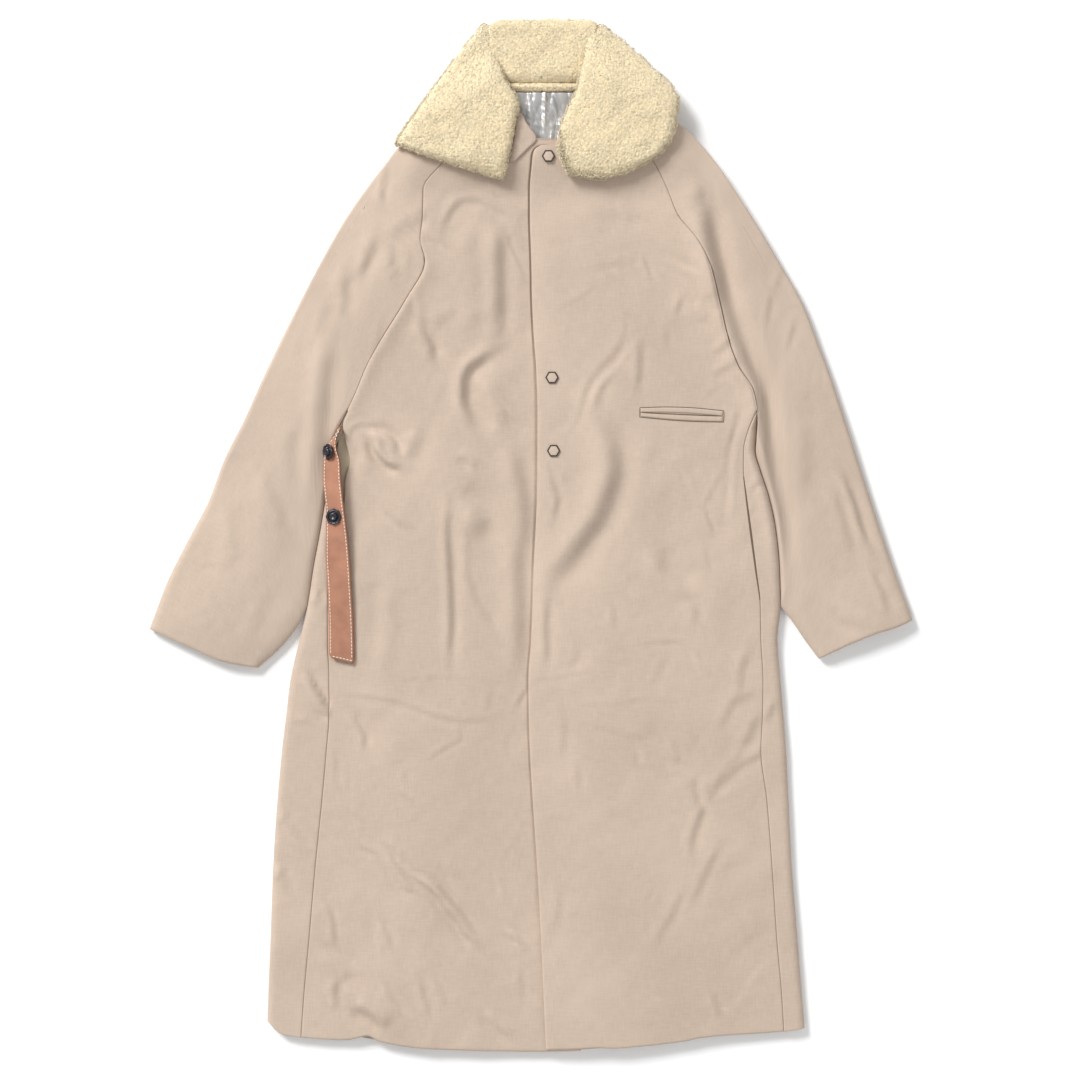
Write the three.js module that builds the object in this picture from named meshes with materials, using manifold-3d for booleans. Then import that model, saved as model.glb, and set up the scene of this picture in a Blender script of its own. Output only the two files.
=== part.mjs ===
// Long raglan coat of wadded wool with a shearling collar, laid flat on its back.
// Millimetres, +Z up. +X is the wearer's left and +Y runs from the hem to the collar.
// The origin is on the surface that the coat rests on, at the middle of the coat.

import * as THREE from 'three';
import Module from 'manifold-3d';
import { mergeVertices } from 'three/addons/utils/BufferGeometryUtils.js';

const { clamp, lerp, smoothstep } = THREE.MathUtils;
const wasm = await Module();
wasm.setup();

// Driving dimensions
const WALL = 4; // wool, wadding and lining quilted into one wall
const LAYER_GAP = 2; // air between the back and the fronts
const SEAM_GAP = 0.3;
const SLANT_GAP = 0.7; // keeps the seam gap on a seam that slants up to 45 degrees
const FLAT_HEIGHT = 2 * WALL + LAYER_GAP; // a front lying on the back, with no folds
const ROLL = FLAT_HEIGHT / 2; // radius of the laid folds at the sides and on the sleeves
const INNER_ROLL = ROLL - WALL;
const LAP_GAP = 0.5; // between the two fronts where they lap
const LAP_OFFSETS = [0, 20, 40, 60, 66, 100]; // mm in from the front edge
const LAP_EDGE = 3; // index of the underlap's edge in LAP_OFFSETS
const LAP_TOP = 4; // index of the last offset that lies at full height
const HEM_STEP = 3; // the upper front's hem is this much shorter at the edge
const STRAP_THICKNESS = 3.6; // two layers of leather
const SNAP_ACROSS = 16; // across the corners of a hexagonal snap
const SNAP_RING = 1.5;
const SNAP_HEIGHT = 1.6;
const COLLAR_THICKNESS = 13; // skin and curls
const COLLAR_FALL_THICKNESS = 11;
const COLLAR_LIFT = COLLAR_FALL_THICKNESS + 0.4;
const WELT_HEIGHT = 1.3;
const WELT_GAP = 0.5;

// The body below the underarm, from the hem up.
// fold: where the coat turns over at the side. seam: the side seam. edge: the front edge.
const BODY = [
  { y: -612, foldR: -317, seamR: -276, edge: 18, seamL: 303.6, foldL: 329 },
  { y: -558, foldR: -315.6, seamR: -272.6, edge: 15.4, seamL: 300.8, foldL: 325.2 },
  { y: -486, foldR: -313.2, seamR: -266.4, edge: 12, seamL: 295.2, foldL: 320.4 },
  { y: -402, foldR: -310.2, seamR: -259.2, edge: 7.6, seamL: 289.7, foldL: 313.8 },
  { y: -318, foldR: -304.8, seamR: -250.8, edge: 2.2, seamL: 283.2, foldL: 309.6 },
  { y: -258, foldR: -299.4, seamR: -245.4, edge: -1.2, seamL: 276, foldL: 306.6 },
  { y: -218, foldR: -294.6, seamR: -242.4, edge: -2.5, seamL: 277.9, foldL: 303.6 },
  { y: -174, foldR: -289.2, seamR: -242.4, edge: -3, seamL: 278.6, foldL: 300 },
  { y: -126, foldR: -278.4, seamR: -244, edge: 0.2, seamL: 276, foldL: 296.4 },
  { y: -86, foldR: -268.9, seamR: -244.2, edge: 1.7, seamL: 275.3, foldL: 300 },
  { y: -42, foldR: -262.2, seamR: -244.2, edge: 3.1, seamL: 269.8, foldL: 298.8 },
  { y: 6, foldR: -253.4, seamR: -244.2, edge: 5.4, seamL: 263.4, foldL: 294.2 },
  { y: 47, foldR: -246.8, seamR: -239.5, edge: 7.2, seamL: 258, foldL: 285.6 },
  { y: 78, foldR: -244.2, seamR: -236.5, edge: 7.8, seamL: 254.8, foldL: 275.6 },
  { y: 102, foldR: -239.4, seamR: -232, edge: 7.8, seamL: 255, foldL: 269.5 },
  { y: 126, foldR: -231, seamR: -224.5, edge: 7.8, seamL: 260.4, foldL: 271.2 },
  { y: 147.6, foldR: -220.8, seamR: -214.8, edge: 7.8, seamL: 265.2, foldL: 271.2 },
];

// The raglan seams from the underarm up to the neck, with the front edge and neckline.
// edge: the upper front's inner edge.
const RAGLAN = [
  { y: 147.6, seamR: -220.8, seamL: 271.2, edge: 7.8 },
  { y: 174, seamR: -208.8, seamL: 265.2, edge: 7.8 },
  { y: 200.4, seamR: -198, seamL: 248.4, edge: 6.2 },
  { y: 228, seamR: -183, seamL: 237.6, edge: 4.1 },
  { y: 282, seamR: -150, seamL: 224.4, edge: 1.4 },
  { y: 327.6, seamR: -127.2, seamL: 212.4, edge: 0.5 },
  { y: 354, seamR: -132.6, seamL: 198, edge: -0.4 },
  { y: 384, seamR: -129.6, seamL: 175.2, edge: -1.2 },
  { y: 414, seamR: -129, seamL: 163.2, edge: -1.2 },
  { y: 444, seamR: -106.8, seamL: 147.6, edge: 1.2 },
  { y: 474, seamR: -85.2, seamL: 127.2, edge: 42 },
  { y: 512.4, seamR: -61.2, seamL: 97.2, edge: 91 },
];
const UPPER_NECKLINE = [
  { y: 455, edge: 2.4 },
  { y: 465.6, edge: 12 },
  { y: 466.6, edge: 34 },
];
const LOWER_NECKLINE = [
  { y: 472.8, edge: 36 },
  { y: 473.8, edge: 8 },
  { y: 500.4, edge: -12 },
  { y: 512.4, edge: -55 },
];
const BACK_NECK = { y: 530.4, seamR: -36, seamL: 62 };
const HEM_BASE = BODY[0].y;
const HEM_REACH = 126; // the hem's curve fades out over this height
const HEM_LINE = [
  { x: -317, y: -583 },
  { x: -299, y: -599 },
  { x: -221, y: -606 },
  { x: -196, y: -601 },
  { x: -181, y: -608 },
  { x: -114, y: -617 },
  { x: 18, y: -620 },
  { x: 121, y: -614 },
  { x: 186, y: -607 },
  { x: 205, y: -603 },
  { x: 301, y: -596 },
  { x: 329, y: -592 },
];

// Sleeves: the shoulder fold from the neck to the cuff, and the cuff from there to the underside
const SHOULDER_LEFT = [
  [97.2, 512.4], [130.8, 510], [160.8, 502.8], [183.6, 488.4], [199.2, 474], [219.6, 450],
  [236.4, 426], [267.6, 378], [296.4, 330], [324, 282], [343.2, 234], [361.2, 186],
  [377, 138], [392.4, 90], [408, 42], [423.6, -6], [440.4, -54], [458.4, -102],
];
const SHOULDER_RIGHT = [
  [-61.2, 512.4], [-91.2, 505.2], [-121.2, 493.2], [-145.2, 476.4], [-162, 460.8], [-170.4, 450],
  [-189.6, 426], [-223.2, 378], [-250.8, 330], [-276, 282], [-300, 234], [-322.8, 186],
  [-344.4, 138], [-368.4, 90], [-386.4, 42], [-411.6, -6], [-435.6, -54], [-458.4, -112.8],
];
const CUFF_LEFT = [[458.4, -102], [440.4, -110.4], [410.4, -120], [381.6, -132], [345.6, -148.8]];
const CUFF_RIGHT = [[-458.4, -112.8], [-435.6, -123], [-402, -138], [-368.4, -152.4], [-327.6, -159.6]];
const UNDERSIDE_LEFT = [[310.8, -99.6], [328.8, -126], [345.6, -148.8]];
const UNDERSIDE_RIGHT = [[-277.2, -104.4], [-297.6, -132], [-327.6, -159.6]];
const FREE_FROM = 9; // index in BODY of the row where the sleeve leaves the body's side
const UNDERSIDE_SHARPNESS = 6; // how closely the underarm's line is kept to the ring's end

// Padding that swells between the seams, and the largest folds: height above the flat coat
const SWELLS = [
  { path: [[-120, 330], [-135, -560]], half: 105, height: 5 },
  { path: [[125, 330], [150, -560]], half: 105, height: 5 },
  { path: [[195, 400], [400, -100]], half: 58, height: 7 },
  { path: [[-165, 390], [-385, -110]], half: 58, height: 7 },
];
const FOLDS = [
  { path: [[-66, 345], [-74, 215]], half: 17, height: 6 },
  { path: [[-92, 362], [-86, 342]], half: 22, height: 4 },
  { path: [[-36, 384], [-35, 288], [-53, 204], [-79, 172], [-72, 126]], half: 16, height: -6 },
  { path: [[-50, 176], [-4, 124]], half: 11, height: 4 },
  { path: [[-160, 120], [-120, 80], [-90, 96]], half: 22, height: 4 },
  { path: [[-130, 30], [-60, 10]], half: 26, height: 3 },
  { path: [[-97, 54], [-95, -30], [-97, -162]], half: 11, height: -5 },
  { path: [[-240, -186], [-157, -178], [-84, -184]], half: 10, height: 3 },
  { path: [[-236, -196], [-150, -206], [-85, -222]], half: 12, height: 4 },
  { path: [[-181, -366], [-138, -420]], half: 10, height: 3.5 },
  { path: [[-145, -398], [-103, -432], [-73, -474], [-43, -498]], half: 12, height: 4 },
  { path: [[-235, -534], [-222, -576], [-176, -598]], half: 16, height: -5 },
  { path: [[-222, -522], [-196, -560], [-160, -584]], half: 14, height: 4 },
  { path: [[-283, -162], [-249, -200]], half: 12, height: 4 },
  { path: [[120, 216], [73, 168], [41, 126], [36, 60]], half: 16, height: 5 },
  { path: [[131, 240], [101, 134], [97, 66], [73, -6], [29, -54], [20, -114]], half: 20, height: -7 },
  { path: [[128, 60], [104, -20], [66, -70]], half: 24, height: 4 },
  { path: [[150, 290], [107, 222]], half: 18, height: 3 },
  { path: [[200, 300], [226, 268]], half: 16, height: 3 },
  { path: [[8, -176], [71, -162], [161, -152]], half: 11, height: 4 },
  { path: [[200, -320], [224, -296], [272, -256]], half: 14, height: 5 },
  { path: [[197, -306], [202, -340], [194, -386]], half: 10, height: -4 },
  { path: [[233, -362], [203, -414], [160, -470]], half: 13, height: 4.5 },
  { path: [[250, 108], [244, 140], [252, 168]], half: 11, height: 4 },
  { path: [[204, 316], [214, 270], [232, 214], [250, 178]], half: 12, height: 4 },
  { path: [[-176, 410], [-182, 384]], half: 12, height: 4 },
  { path: [[-146, 370], [-194, 332]], half: 14, height: 4 },
  { path: [[180, 390], [206, 412]], half: 12, height: -5 },
  { path: [[-212, 238], [-246, 96], [-262, 0]], half: 18, height: -4 },
  { path: [[238, 286], [282, 130], [316, -30]], half: 16, height: -4 },
];

// The collar, from the neck's crown to the leaf points. inner: the rolled edge beside the neck.
const LEAF_RIGHT = [
  { inner: [-44, 609.5], outer: [-56, 611.5], belly: 0 },
  { inner: [-42, 582], outer: [-80.4, 583], belly: 0 },
  { inner: [-34.8, 552], outer: [-103.2, 553], belly: 0 },
  { inner: [-23, 531], outer: [-121.2, 528], belly: 0 },
  { inner: [-14.4, 512], outer: [-135.6, 507.6], belly: 0 },
  { inner: [-19.2, 492], outer: [-146.4, 492], belly: 0 },
  { inner: [-24, 462], outer: [-156, 477.6], belly: 0 },
  { inner: [-29, 443], outer: [-159.5, 472], belly: 1 },
  { inner: [-33.6, 424.8], outer: [-162, 467], belly: 2 },
];
const LEAF_LEFT = [
  { inner: [72.5, 607], outer: [83, 611.5], belly: 0 },
  { inner: [64.8, 582], outer: [116.4, 585.6], belly: 0 },
  { inner: [61.2, 555.6], outer: [145.2, 558], belly: 0 },
  { inner: [54, 531.6], outer: [169.2, 535], belly: 0 },
  { inner: [45.6, 510], outer: [176.4, 516], belly: 0 },
  { inner: [36, 489.6], outer: [172.8, 495.6], belly: 0 },
  { inner: [33.6, 462], outer: [168, 474], belly: 4 },
  { inner: [37.5, 447], outer: [160, 463], belly: 9 },
  { inner: [45, 432], outer: [150, 452], belly: 14 },
];
const STAND = [
  { y: 542, left: -27.5, right: 57 },
  { y: 556, left: -34.5, right: 60 },
  { y: 583, left: -40.8, right: 63.5 },
  { y: 604, left: -42, right: 70.5 },
  { y: 612, left: -37, right: 68 },
  { y: 617, left: -27, right: 58 },
];
const STAND_BAND = [
  { y: 531.2, left: -22, right: 53.2 },
  { y: 541.4, left: -27, right: 56.5 },
];
const COLLAR_FALL = [
  { y: 466, left: -128, right: 150 },
  { y: 476, left: -130, right: 152 },
  { y: 507, left: -128, right: 152 },
  { y: 552, left: -98, right: 140 },
  { y: 596, left: -66, right: 100 },
  { y: 608, left: -50, right: 78 },
];
const LIFT_ZONE = { left: -134, right: 157, low: 459, fade: 60 };
const LINING = [
  { y: 452, left: -34, right: 60 },
  { y: 480, left: -38, right: 66 },
  { y: 512, left: -42, right: 70 },
  { y: 529.8, left: -34, right: 60 },
];
const LINING_THICKNESS = 1;

// Height fields over the plan
function segmentDistance(x, y, [x1, y1], [x2, y2]) {
  const dx = x2 - x1;
  const dy = y2 - y1;
  const along = clamp(((x - x1) * dx + (y - y1) * dy) / (dx * dx + dy * dy), 0, 1);
  return Math.hypot(x - x1 - along * dx, y - y1 - along * dy);
}

// A soft ridge or trough: the height falls away from its path as a bell curve
function reliefAt(table, x, y) {
  let height = 0;
  for (const row of table) {
    let nearest = Infinity;
    for (let i = 0; i < row.path.length - 1; i++) {
      nearest = Math.min(nearest, segmentDistance(x, y, row.path[i], row.path[i + 1]));
    }
    height += row.height * Math.exp(-((nearest / row.half) ** 2));
  }
  return height;
}

// The collar's fall lies under the back neck and lifts everything above it
function liftAt(x, y) {
  const outsideX = Math.max(LIFT_ZONE.left - x, x - LIFT_ZONE.right, 0);
  const outsideY = Math.max(LIFT_ZONE.low - y, 0);
  const distance = Math.hypot(outsideX, outsideY);
  return COLLAR_LIFT * (1 - smoothstep(distance, 0, LIFT_ZONE.fade));
}

function topAt(x, y) {
  const relief = reliefAt(SWELLS, x, y) + reliefAt(FOLDS, x, y);
  return liftAt(x, y) + FLAT_HEIGHT + Math.max(relief, 0);
}

// The inside of a front follows its ridges, so the wall keeps its thickness there
function insideAt(x, y) {
  const ridges = Math.max(reliefAt(FOLDS, x, y), 0);
  return Math.min(liftAt(x, y) + FLAT_HEIGHT - WALL + 0.8 * ridges, topAt(x, y) - WALL);
}

// Table lookups
function between(table, key, value, column) {
  const last = table.length - 2;
  let i = 0;
  while (i < last && value > table[i + 1][key]) {
    i++;
  }
  const share = clamp((value - table[i][key]) / (table[i + 1][key] - table[i][key]), 0, 1);
  return lerp(table[i][column], table[i + 1][column], share);
}

function hemPlace(x, y) {
  const share = clamp((HEM_BASE + HEM_REACH - y) / HEM_REACH, 0, 1);
  return y + share * (between(HEM_LINE, 'x', x, 'y') - HEM_BASE);
}

function pathLengths(path) {
  const lengths = [0];
  for (let i = 1; i < path.length; i++) {
    const step = Math.hypot(path[i][0] - path[i - 1][0], path[i][1] - path[i - 1][1]);
    lengths.push(lengths[i - 1] + step);
  }
  return lengths;
}

function pathPoint(path, share) {
  const lengths = pathLengths(path);
  const rows = path.map((point, i) => ({ length: lengths[i], x: point[0], y: point[1] }));
  const target = clamp(share, 0, 1) * lengths[lengths.length - 1];
  return [between(rows, 'length', target, 'x'), between(rows, 'length', target, 'y')];
}

// A wall between two grids of points with the same rows and columns.
// A closed wall's columns run round a tube, and it is open at its first and last rows.
function wall(outer, inner, closed = false) {
  const rows = outer.length;
  const columns = outer[0].length;
  const index = [];
  const at = (side, r, c) => (side * rows + r) * columns + (c % columns);
  const quad = (a, b, c, d) => index.push(a, b, c, a, c, d);
  const span = closed ? columns : columns - 1;
  const end = rows - 1;
  for (let c = 0; c < span; c++) {
    for (let r = 0; r < end; r++) {
      quad(at(0, r, c), at(0, r, c + 1), at(0, r + 1, c + 1), at(0, r + 1, c));
      quad(at(1, r, c), at(1, r + 1, c), at(1, r + 1, c + 1), at(1, r, c + 1));
    }
    quad(at(0, 0, c), at(1, 0, c), at(1, 0, c + 1), at(0, 0, c + 1));
    quad(at(0, end, c), at(0, end, c + 1), at(1, end, c + 1), at(1, end, c));
  }
  if (!closed) {
    for (let r = 0; r < end; r++) {
      quad(at(0, r, 0), at(0, r + 1, 0), at(1, r + 1, 0), at(1, r, 0));
      quad(at(0, r, span), at(1, r, span), at(1, r + 1, span), at(0, r + 1, span));
    }
  }
  const geometry = new THREE.BufferGeometry();
  const points = [...outer.flat(2), ...inner.flat(2)];
  geometry.setAttribute('position', new THREE.Float32BufferAttribute(points, 3));
  geometry.setIndex(index);
  return facesOut(geometry);
}

// Turns a closed surface right side out, by the sign of its volume
function facesOut(geometry) {
  const position = geometry.attributes.position;
  const index = geometry.index.array;
  const [a, b, c] = [new THREE.Vector3(), new THREE.Vector3(), new THREE.Vector3()];
  let volume = 0;
  for (let i = 0; i < index.length; i += 3) {
    a.fromBufferAttribute(position, index[i]);
    b.fromBufferAttribute(position, index[i + 1]);
    c.fromBufferAttribute(position, index[i + 2]);
    volume += a.dot(b.cross(c));
  }
  if (volume < 0) {
    index.reverse();
  }
  return geometry;
}

function toSolid(geometry) {
  const merged = mergeVertices(geometry, 1e-4);
  const vertProperties = new Float32Array(merged.attributes.position.array);
  const triVerts = new Uint32Array(merged.index.array);
  return new wasm.Manifold(new wasm.Mesh({ numProp: 3, vertProperties, triVerts }));
}

function join(first, second) {
  const mesh = toSolid(first).add(toSolid(second)).getMesh();
  const geometry = new THREE.BufferGeometry();
  geometry.setAttribute('position', new THREE.BufferAttribute(mesh.vertProperties, 3));
  geometry.setIndex(new THREE.BufferAttribute(mesh.triVerts, 1));
  return geometry;
}

// Height of a grid's surface at a plan point, from the triangle that holds it
function gridHeight(grid, x, y) {
  const inTriangle = (p, q, s) => {
    const area = (q[0] - p[0]) * (s[1] - p[1]) - (s[0] - p[0]) * (q[1] - p[1]);
    const v = ((x - p[0]) * (s[1] - p[1]) - (s[0] - p[0]) * (y - p[1])) / area;
    const w = ((q[0] - p[0]) * (y - p[1]) - (x - p[0]) * (q[1] - p[1])) / area;
    const inside = v >= -1e-6 && w >= -1e-6 && v + w <= 1 + 1e-6;
    return inside ? p[2] + v * (q[2] - p[2]) + w * (s[2] - p[2]) : null;
  };
  for (let r = 0; r < grid.length - 1; r++) {
    for (let c = 0; c < grid[r].length - 1; c++) {
      const [p, q, s, t] = [grid[r][c], grid[r][c + 1], grid[r + 1][c + 1], grid[r + 1][c]];
      const height = inTriangle(p, q, s) ?? inTriangle(p, s, t);
      if (height !== null) {
        return height;
      }
    }
  }
  return topAt(x, y);
}

// The fronts: rows shared by both, so that the lap's two surfaces match point for point
const underarm = BODY[BODY.length - 1];

function frontRows(seam, neckline) {
  const sign = seam === 'seamL' ? 1 : -1;
  const rows = BODY.map((row) => ({ y: row.y, outer: row[seam] - sign * SEAM_GAP, edge: row.edge }));
  const corner = rows[rows.length - 1];
  const raglanX = (y) => between(RAGLAN, 'y', y, seam) - sign * SLANT_GAP;
  rows.push({ ...corner, y: corner.y + SEAM_GAP });
  rows.push({ y: corner.y + 3 * SEAM_GAP, outer: raglanX(corner.y + 3 * SEAM_GAP), edge: corner.edge });
  const upper = [...RAGLAN.slice(1), ...neckline].sort((a, b) => a.y - b.y);
  for (const row of upper) {
    rows.push({ y: row.y, outer: raglanX(row.y), edge: row.edge });
  }
  return rows;
}

const BELOW_NECK = UPPER_NECKLINE[1].y;
const leftRows = frontRows('seamL', UPPER_NECKLINE);
const lapRows = leftRows.filter((row) => row.y <= BELOW_NECK);
const rightBelow = frontRows('seamR', UPPER_NECKLINE).filter((row) => row.y <= BELOW_NECK);
const rightAbove = LOWER_NECKLINE.map((row) => ({
  y: row.y,
  outer: between(RAGLAN, 'y', row.y, 'seamR') + SLANT_GAP,
  edge: row.edge,
}));
const LEFT_COLUMNS = 12;
const RIGHT_COLUMNS = 9; // from the side seam to the placket

function leftColumns(row) {
  const width = row.outer - row.edge;
  const share = width / (LEFT_COLUMNS - 1);
  const xs = LAP_OFFSETS.map((offset, i) => row.edge + Math.min(offset, share * i));
  const fixed = LAP_OFFSETS.length - 1;
  const rest = LEFT_COLUMNS - 1 - fixed;
  for (let i = 1; i <= rest; i++) {
    xs.push(lerp(xs[fixed], row.outer, i / rest));
  }
  return xs;
}

function hemRaise(y, lapped) {
  return y <= HEM_BASE && lapped ? HEM_STEP : 0;
}

const leftTop = leftRows.map((row) => leftColumns(row).map((x, c) => {
  const lapped = c <= LAP_TOP;
  const y = hemPlace(x, row.y);
  const height = topAt(x, y) + (lapped ? WALL + LAP_GAP : 0);
  return [x, y + hemRaise(row.y, lapped), height];
}));
const leftInside = leftTop.map((row) => row.map(([x, y, z], c) => {
  const lapped = c <= LAP_TOP;
  return [x, y, lapped ? z - WALL : insideAt(x, y)];
}));

function rightColumns(row, r) {
  const lapped = r < lapRows.length;
  const columns = lapped ? RIGHT_COLUMNS : RIGHT_COLUMNS + LAP_EDGE;
  const xs = [];
  for (let c = 0; c < columns; c++) {
    xs.push(lerp(row.outer, row.edge, c / (columns - 1)));
  }
  return lapped ? [...xs, ...leftColumns(lapRows[r]).slice(1, LAP_EDGE + 1)] : xs;
}

const rightRows = [...rightBelow, ...rightAbove];
const rightTop = rightRows.map((row, r) => rightColumns(row, r).map((x) => {
  const y = hemPlace(x, row.y);
  return [x, y, topAt(x, y)];
}));
const rightInside = rightTop.map((row) => row.map(([x, y]) => [x, y, insideAt(x, y)]));

// The back: below the underarm its section runs from one side seam, round the laid fold,
// along the surface, and round the other fold to the other seam
const FLOOR_POINTS = 8;

function wrapPoints(fold, seam, sign, y, inner) {
  const roll = inner ? INNER_ROLL : ROLL;
  const edge = fold - sign * (SEAM_GAP + (inner ? WALL : 0));
  const points = [];
  const height = (x) => (inner ? insideAt(x, y) : topAt(x, y));
  const rollX = edge - sign * roll;
  for (const share of [0, 0.5]) {
    const x = lerp(seam, rollX, share);
    points.push([x, y, height(x)]);
  }
  const crown = height(rollX);
  const foot = liftAt(rollX, y) + (inner ? WALL : 0);
  for (let i = 0; i <= 4; i++) {
    const angle = (i / 4) * Math.PI;
    const x = edge - sign * roll * (1 - Math.sin(angle));
    points.push([x, y, lerp(foot, crown, (1 + Math.cos(angle)) / 2)]);
  }
  return points;
}

function backSection(row, inner) {
  const right = wrapPoints(row.foldR, row.seamR, -1, row.y, inner);
  const left = wrapPoints(row.foldL, row.seamL, 1, row.y, inner).reverse();
  const base = inner ? WALL : 0;
  const from = right[right.length - 1][0];
  const to = left[0][0];
  const floor = [];
  for (let i = 1; i <= FLOOR_POINTS; i++) {
    floor.push([lerp(from, to, i / (FLOOR_POINTS + 1)), row.y, base]);
  }
  return [...right, ...floor, ...left].map(([x, y, z]) => [x, hemPlace(x, y), z]);
}

const BACK_JOIN = 3;
const BACK_COLUMNS = 9;
const upperBackRows = [
  { ...RAGLAN[0], y: underarm.y - BACK_JOIN, seamR: -214, seamL: 264 },
  { ...RAGLAN[0], y: underarm.y - 1, seamR: -214, seamL: 264 },
  { ...RAGLAN[0], y: underarm.y + SEAM_GAP },
  ...RAGLAN.slice(1),
  BACK_NECK,
];
const upperBack = [0, WALL].map((base) => upperBackRows.map((row) => {
  const points = [];
  for (let c = 0; c < BACK_COLUMNS; c++) {
    const x = lerp(row.seamR + SLANT_GAP, row.seamL - SLANT_GAP, c / (BACK_COLUMNS - 1));
    points.push([x, row.y, base + liftAt(x, row.y)]);
  }
  return points;
}));
const lowerBack = [false, true].map((inner) => BODY.map((row) => backSection(row, inner)));
const backPanel = join(wall(...lowerBack), wall(upperBack[1], upperBack[0]));

// A sleeve: rings that start on the raglan seam and end on the cuff, each a flattened tube.
// A ring's plan points are a blend of its four boundary lines.
function sleeve(seam, fold, shoulder, cuff, underside) {
  const raglan = RAGLAN.map((row) => [row[seam], row.y]).reverse();
  const beside = BODY.slice(FREE_FROM).map((row) => [row[fold], row.y]).reverse();
  const underarmLine = [...beside, ...underside];
  const lengths = pathLengths(underarmLine);
  const total = lengths[lengths.length - 1];
  const stations = [];
  lengths.forEach((length, i) => {
    stations.push(length / total);
    if (i < lengths.length - 1) {
      stations.push((length + lengths[i + 1]) / 2 / total);
    }
  });
  const seamLengths = pathLengths(raglan);
  const shares = seamLengths.map((length) => length / seamLengths[seamLengths.length - 1]);
  const plan = (s, t) => {
    const [a, b] = [pathPoint(raglan, t), pathPoint(cuff, t)];
    const [c, d] = [pathPoint(shoulder, s), pathPoint(underarmLine, s)];
    const corners = [raglan[0], raglan[raglan.length - 1], cuff[0], cuff[cuff.length - 1]];
    const under = t ** UNDERSIDE_SHARPNESS;
    return [0, 1].map((i) => (1 - s) * a[i] + s * b[i] + lerp(c[i], d[i], under)
      - (1 - s) * lerp(corners[0][i], corners[1][i], under)
      - s * lerp(corners[2][i], corners[3][i], under));
  };
  const ring = (s, inner) => {
    const ends = [plan(s, 0), plan(s, 1)];
    const width = Math.hypot(ends[1][0] - ends[0][0], ends[1][1] - ends[0][1]);
    const inset = inner ? WALL / width : 0;
    const roll = (inner ? INNER_ROLL : ROLL) / width;
    const near = roll * (1 - Math.SQRT1_2);
    const middle = shares.slice(1, -1);
    const across = [0, near, roll, ...middle, 1 - roll - 2 * inset, 1 - near - 2 * inset, 1 - 2 * inset];
    const points = across.map((t, i) => {
      const isMiddle = i > 2 && i < across.length - 3;
      const place = plan(s, isMiddle ? t : t + inset);
      const edge = Math.min(i, across.length - 1 - i);
      const [x, y] = place;
      const rise = [0.5, (1 + Math.SQRT1_2) / 2, 1][Math.min(edge, 2)];
      const crown = inner ? insideAt(x, y) : topAt(x, y);
      const foot = liftAt(x, y) + (inner ? WALL : 0);
      return { x, y, top: lerp(foot, crown, rise), bottom: lerp(foot, crown, 1 - rise) };
    });
    const top = points.map((p) => [p.x, p.y, p.top]);
    const bottom = points.slice(1, -1).map((p) => [p.x, p.y, p.bottom]).reverse();
    bottom.forEach((point, i) => {
      const edge = Math.min(i, bottom.length - 1 - i);
      point[2] = edge === 0 ? point[2] : liftAt(point[0], point[1]) + (inner ? WALL : 0);
    });
    return [...top, ...bottom];
  };
  return wall(stations.map((s) => ring(s, false)), stations.map((s) => ring(s, true)), true);
}

// The highest surface within reach of a plan point: what lies there rests on it
function restAt(heightAt, x, y, reach) {
  const steps = [[0, 0], [reach, 0], [-reach, 0], [0, reach], [0, -reach]];
  return Math.max(...steps.map(([dx, dy]) => heightAt(x + dx, y + dy)));
}

// The collar's pads lie on whatever is under them: the coat, the lining or the collar's fall
const REST_GAP = 0.9;
const LEAF_REACH = 9;
const LEAF_COLUMNS = 9;
const SHOULDER_LINES = {
  right: { neck: [-61.2, 512.4], normal: [-0.4386, 0.8987], full: 12, none: 34 },
  left: { neck: [97.2, 512.4], normal: [0.352, 0.936], full: 16, none: 38 },
};

function leafFloor(side, x, y) {
  const line = SHOULDER_LINES[side];
  const outside = (x - line.neck[0]) * line.normal[0] + (y - line.neck[1]) * line.normal[1];
  const onCoat = 1 - smoothstep(outside, line.full, line.none);
  const low = COLLAR_FALL_THICKNESS + 0.8;
  const neckFloor = COLLAR_LIFT + WALL + LINING_THICKNESS + REST_GAP;
  const onNeck = 1 - smoothstep(y, BACK_NECK.y + 4, BACK_NECK.y + 24);
  const coat = restAt(topAt, x, y, LEAF_REACH) + REST_GAP + (side === 'left' && x < 110 ? WALL + LAP_GAP : 0);
  return Math.max(low + (coat - low) * onCoat, lerp(low, neckFloor, onNeck));
}

function pad(rows, columns, floorAt, thickness, planAt) {
  const top = [];
  const bottom = [];
  rows.forEach((row, r) => {
    const v = r / (rows.length - 1);
    top.push([]);
    bottom.push([]);
    for (let c = 0; c < columns; c++) {
      const u = c / (columns - 1);
      const [x, y] = planAt(row, u);
      const rim = Math.min(1 - Math.abs(2 * u - 1) ** 5, 1 - Math.abs(2 * v - 1) ** 7);
      const floor = floorAt(x, y);
      bottom[r].push([x, y, floor]);
      top[r].push([x, y, floor + thickness * (0.5 + 0.5 * rim)]);
    }
  });
  return wall(top, bottom);
}

const leafPlan = (row, u) => [
  lerp(row.inner[0], row.outer[0], u),
  lerp(row.inner[1], row.outer[1], u) - row.belly * Math.sin(Math.PI * u),
];
const spanPlan = (row, u) => [lerp(row.left, row.right, u), row.y];

function collarFall() {
  const rows = COLLAR_FALL.map((row, r) => [0, 0.08, 0.3, 0.5, 0.7, 0.92, 1].map((u, c) => {
    const rim = r === 0 || r === COLLAR_FALL.length - 1 || c === 0 || c === 6;
    return [lerp(row.left, row.right, u), row.y, rim ? 0.55 * COLLAR_FALL_THICKNESS : COLLAR_FALL_THICKNESS];
  }));
  return wall(rows, rows.map((row) => row.map(([x, y]) => [x, y, 0])));
}

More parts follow.
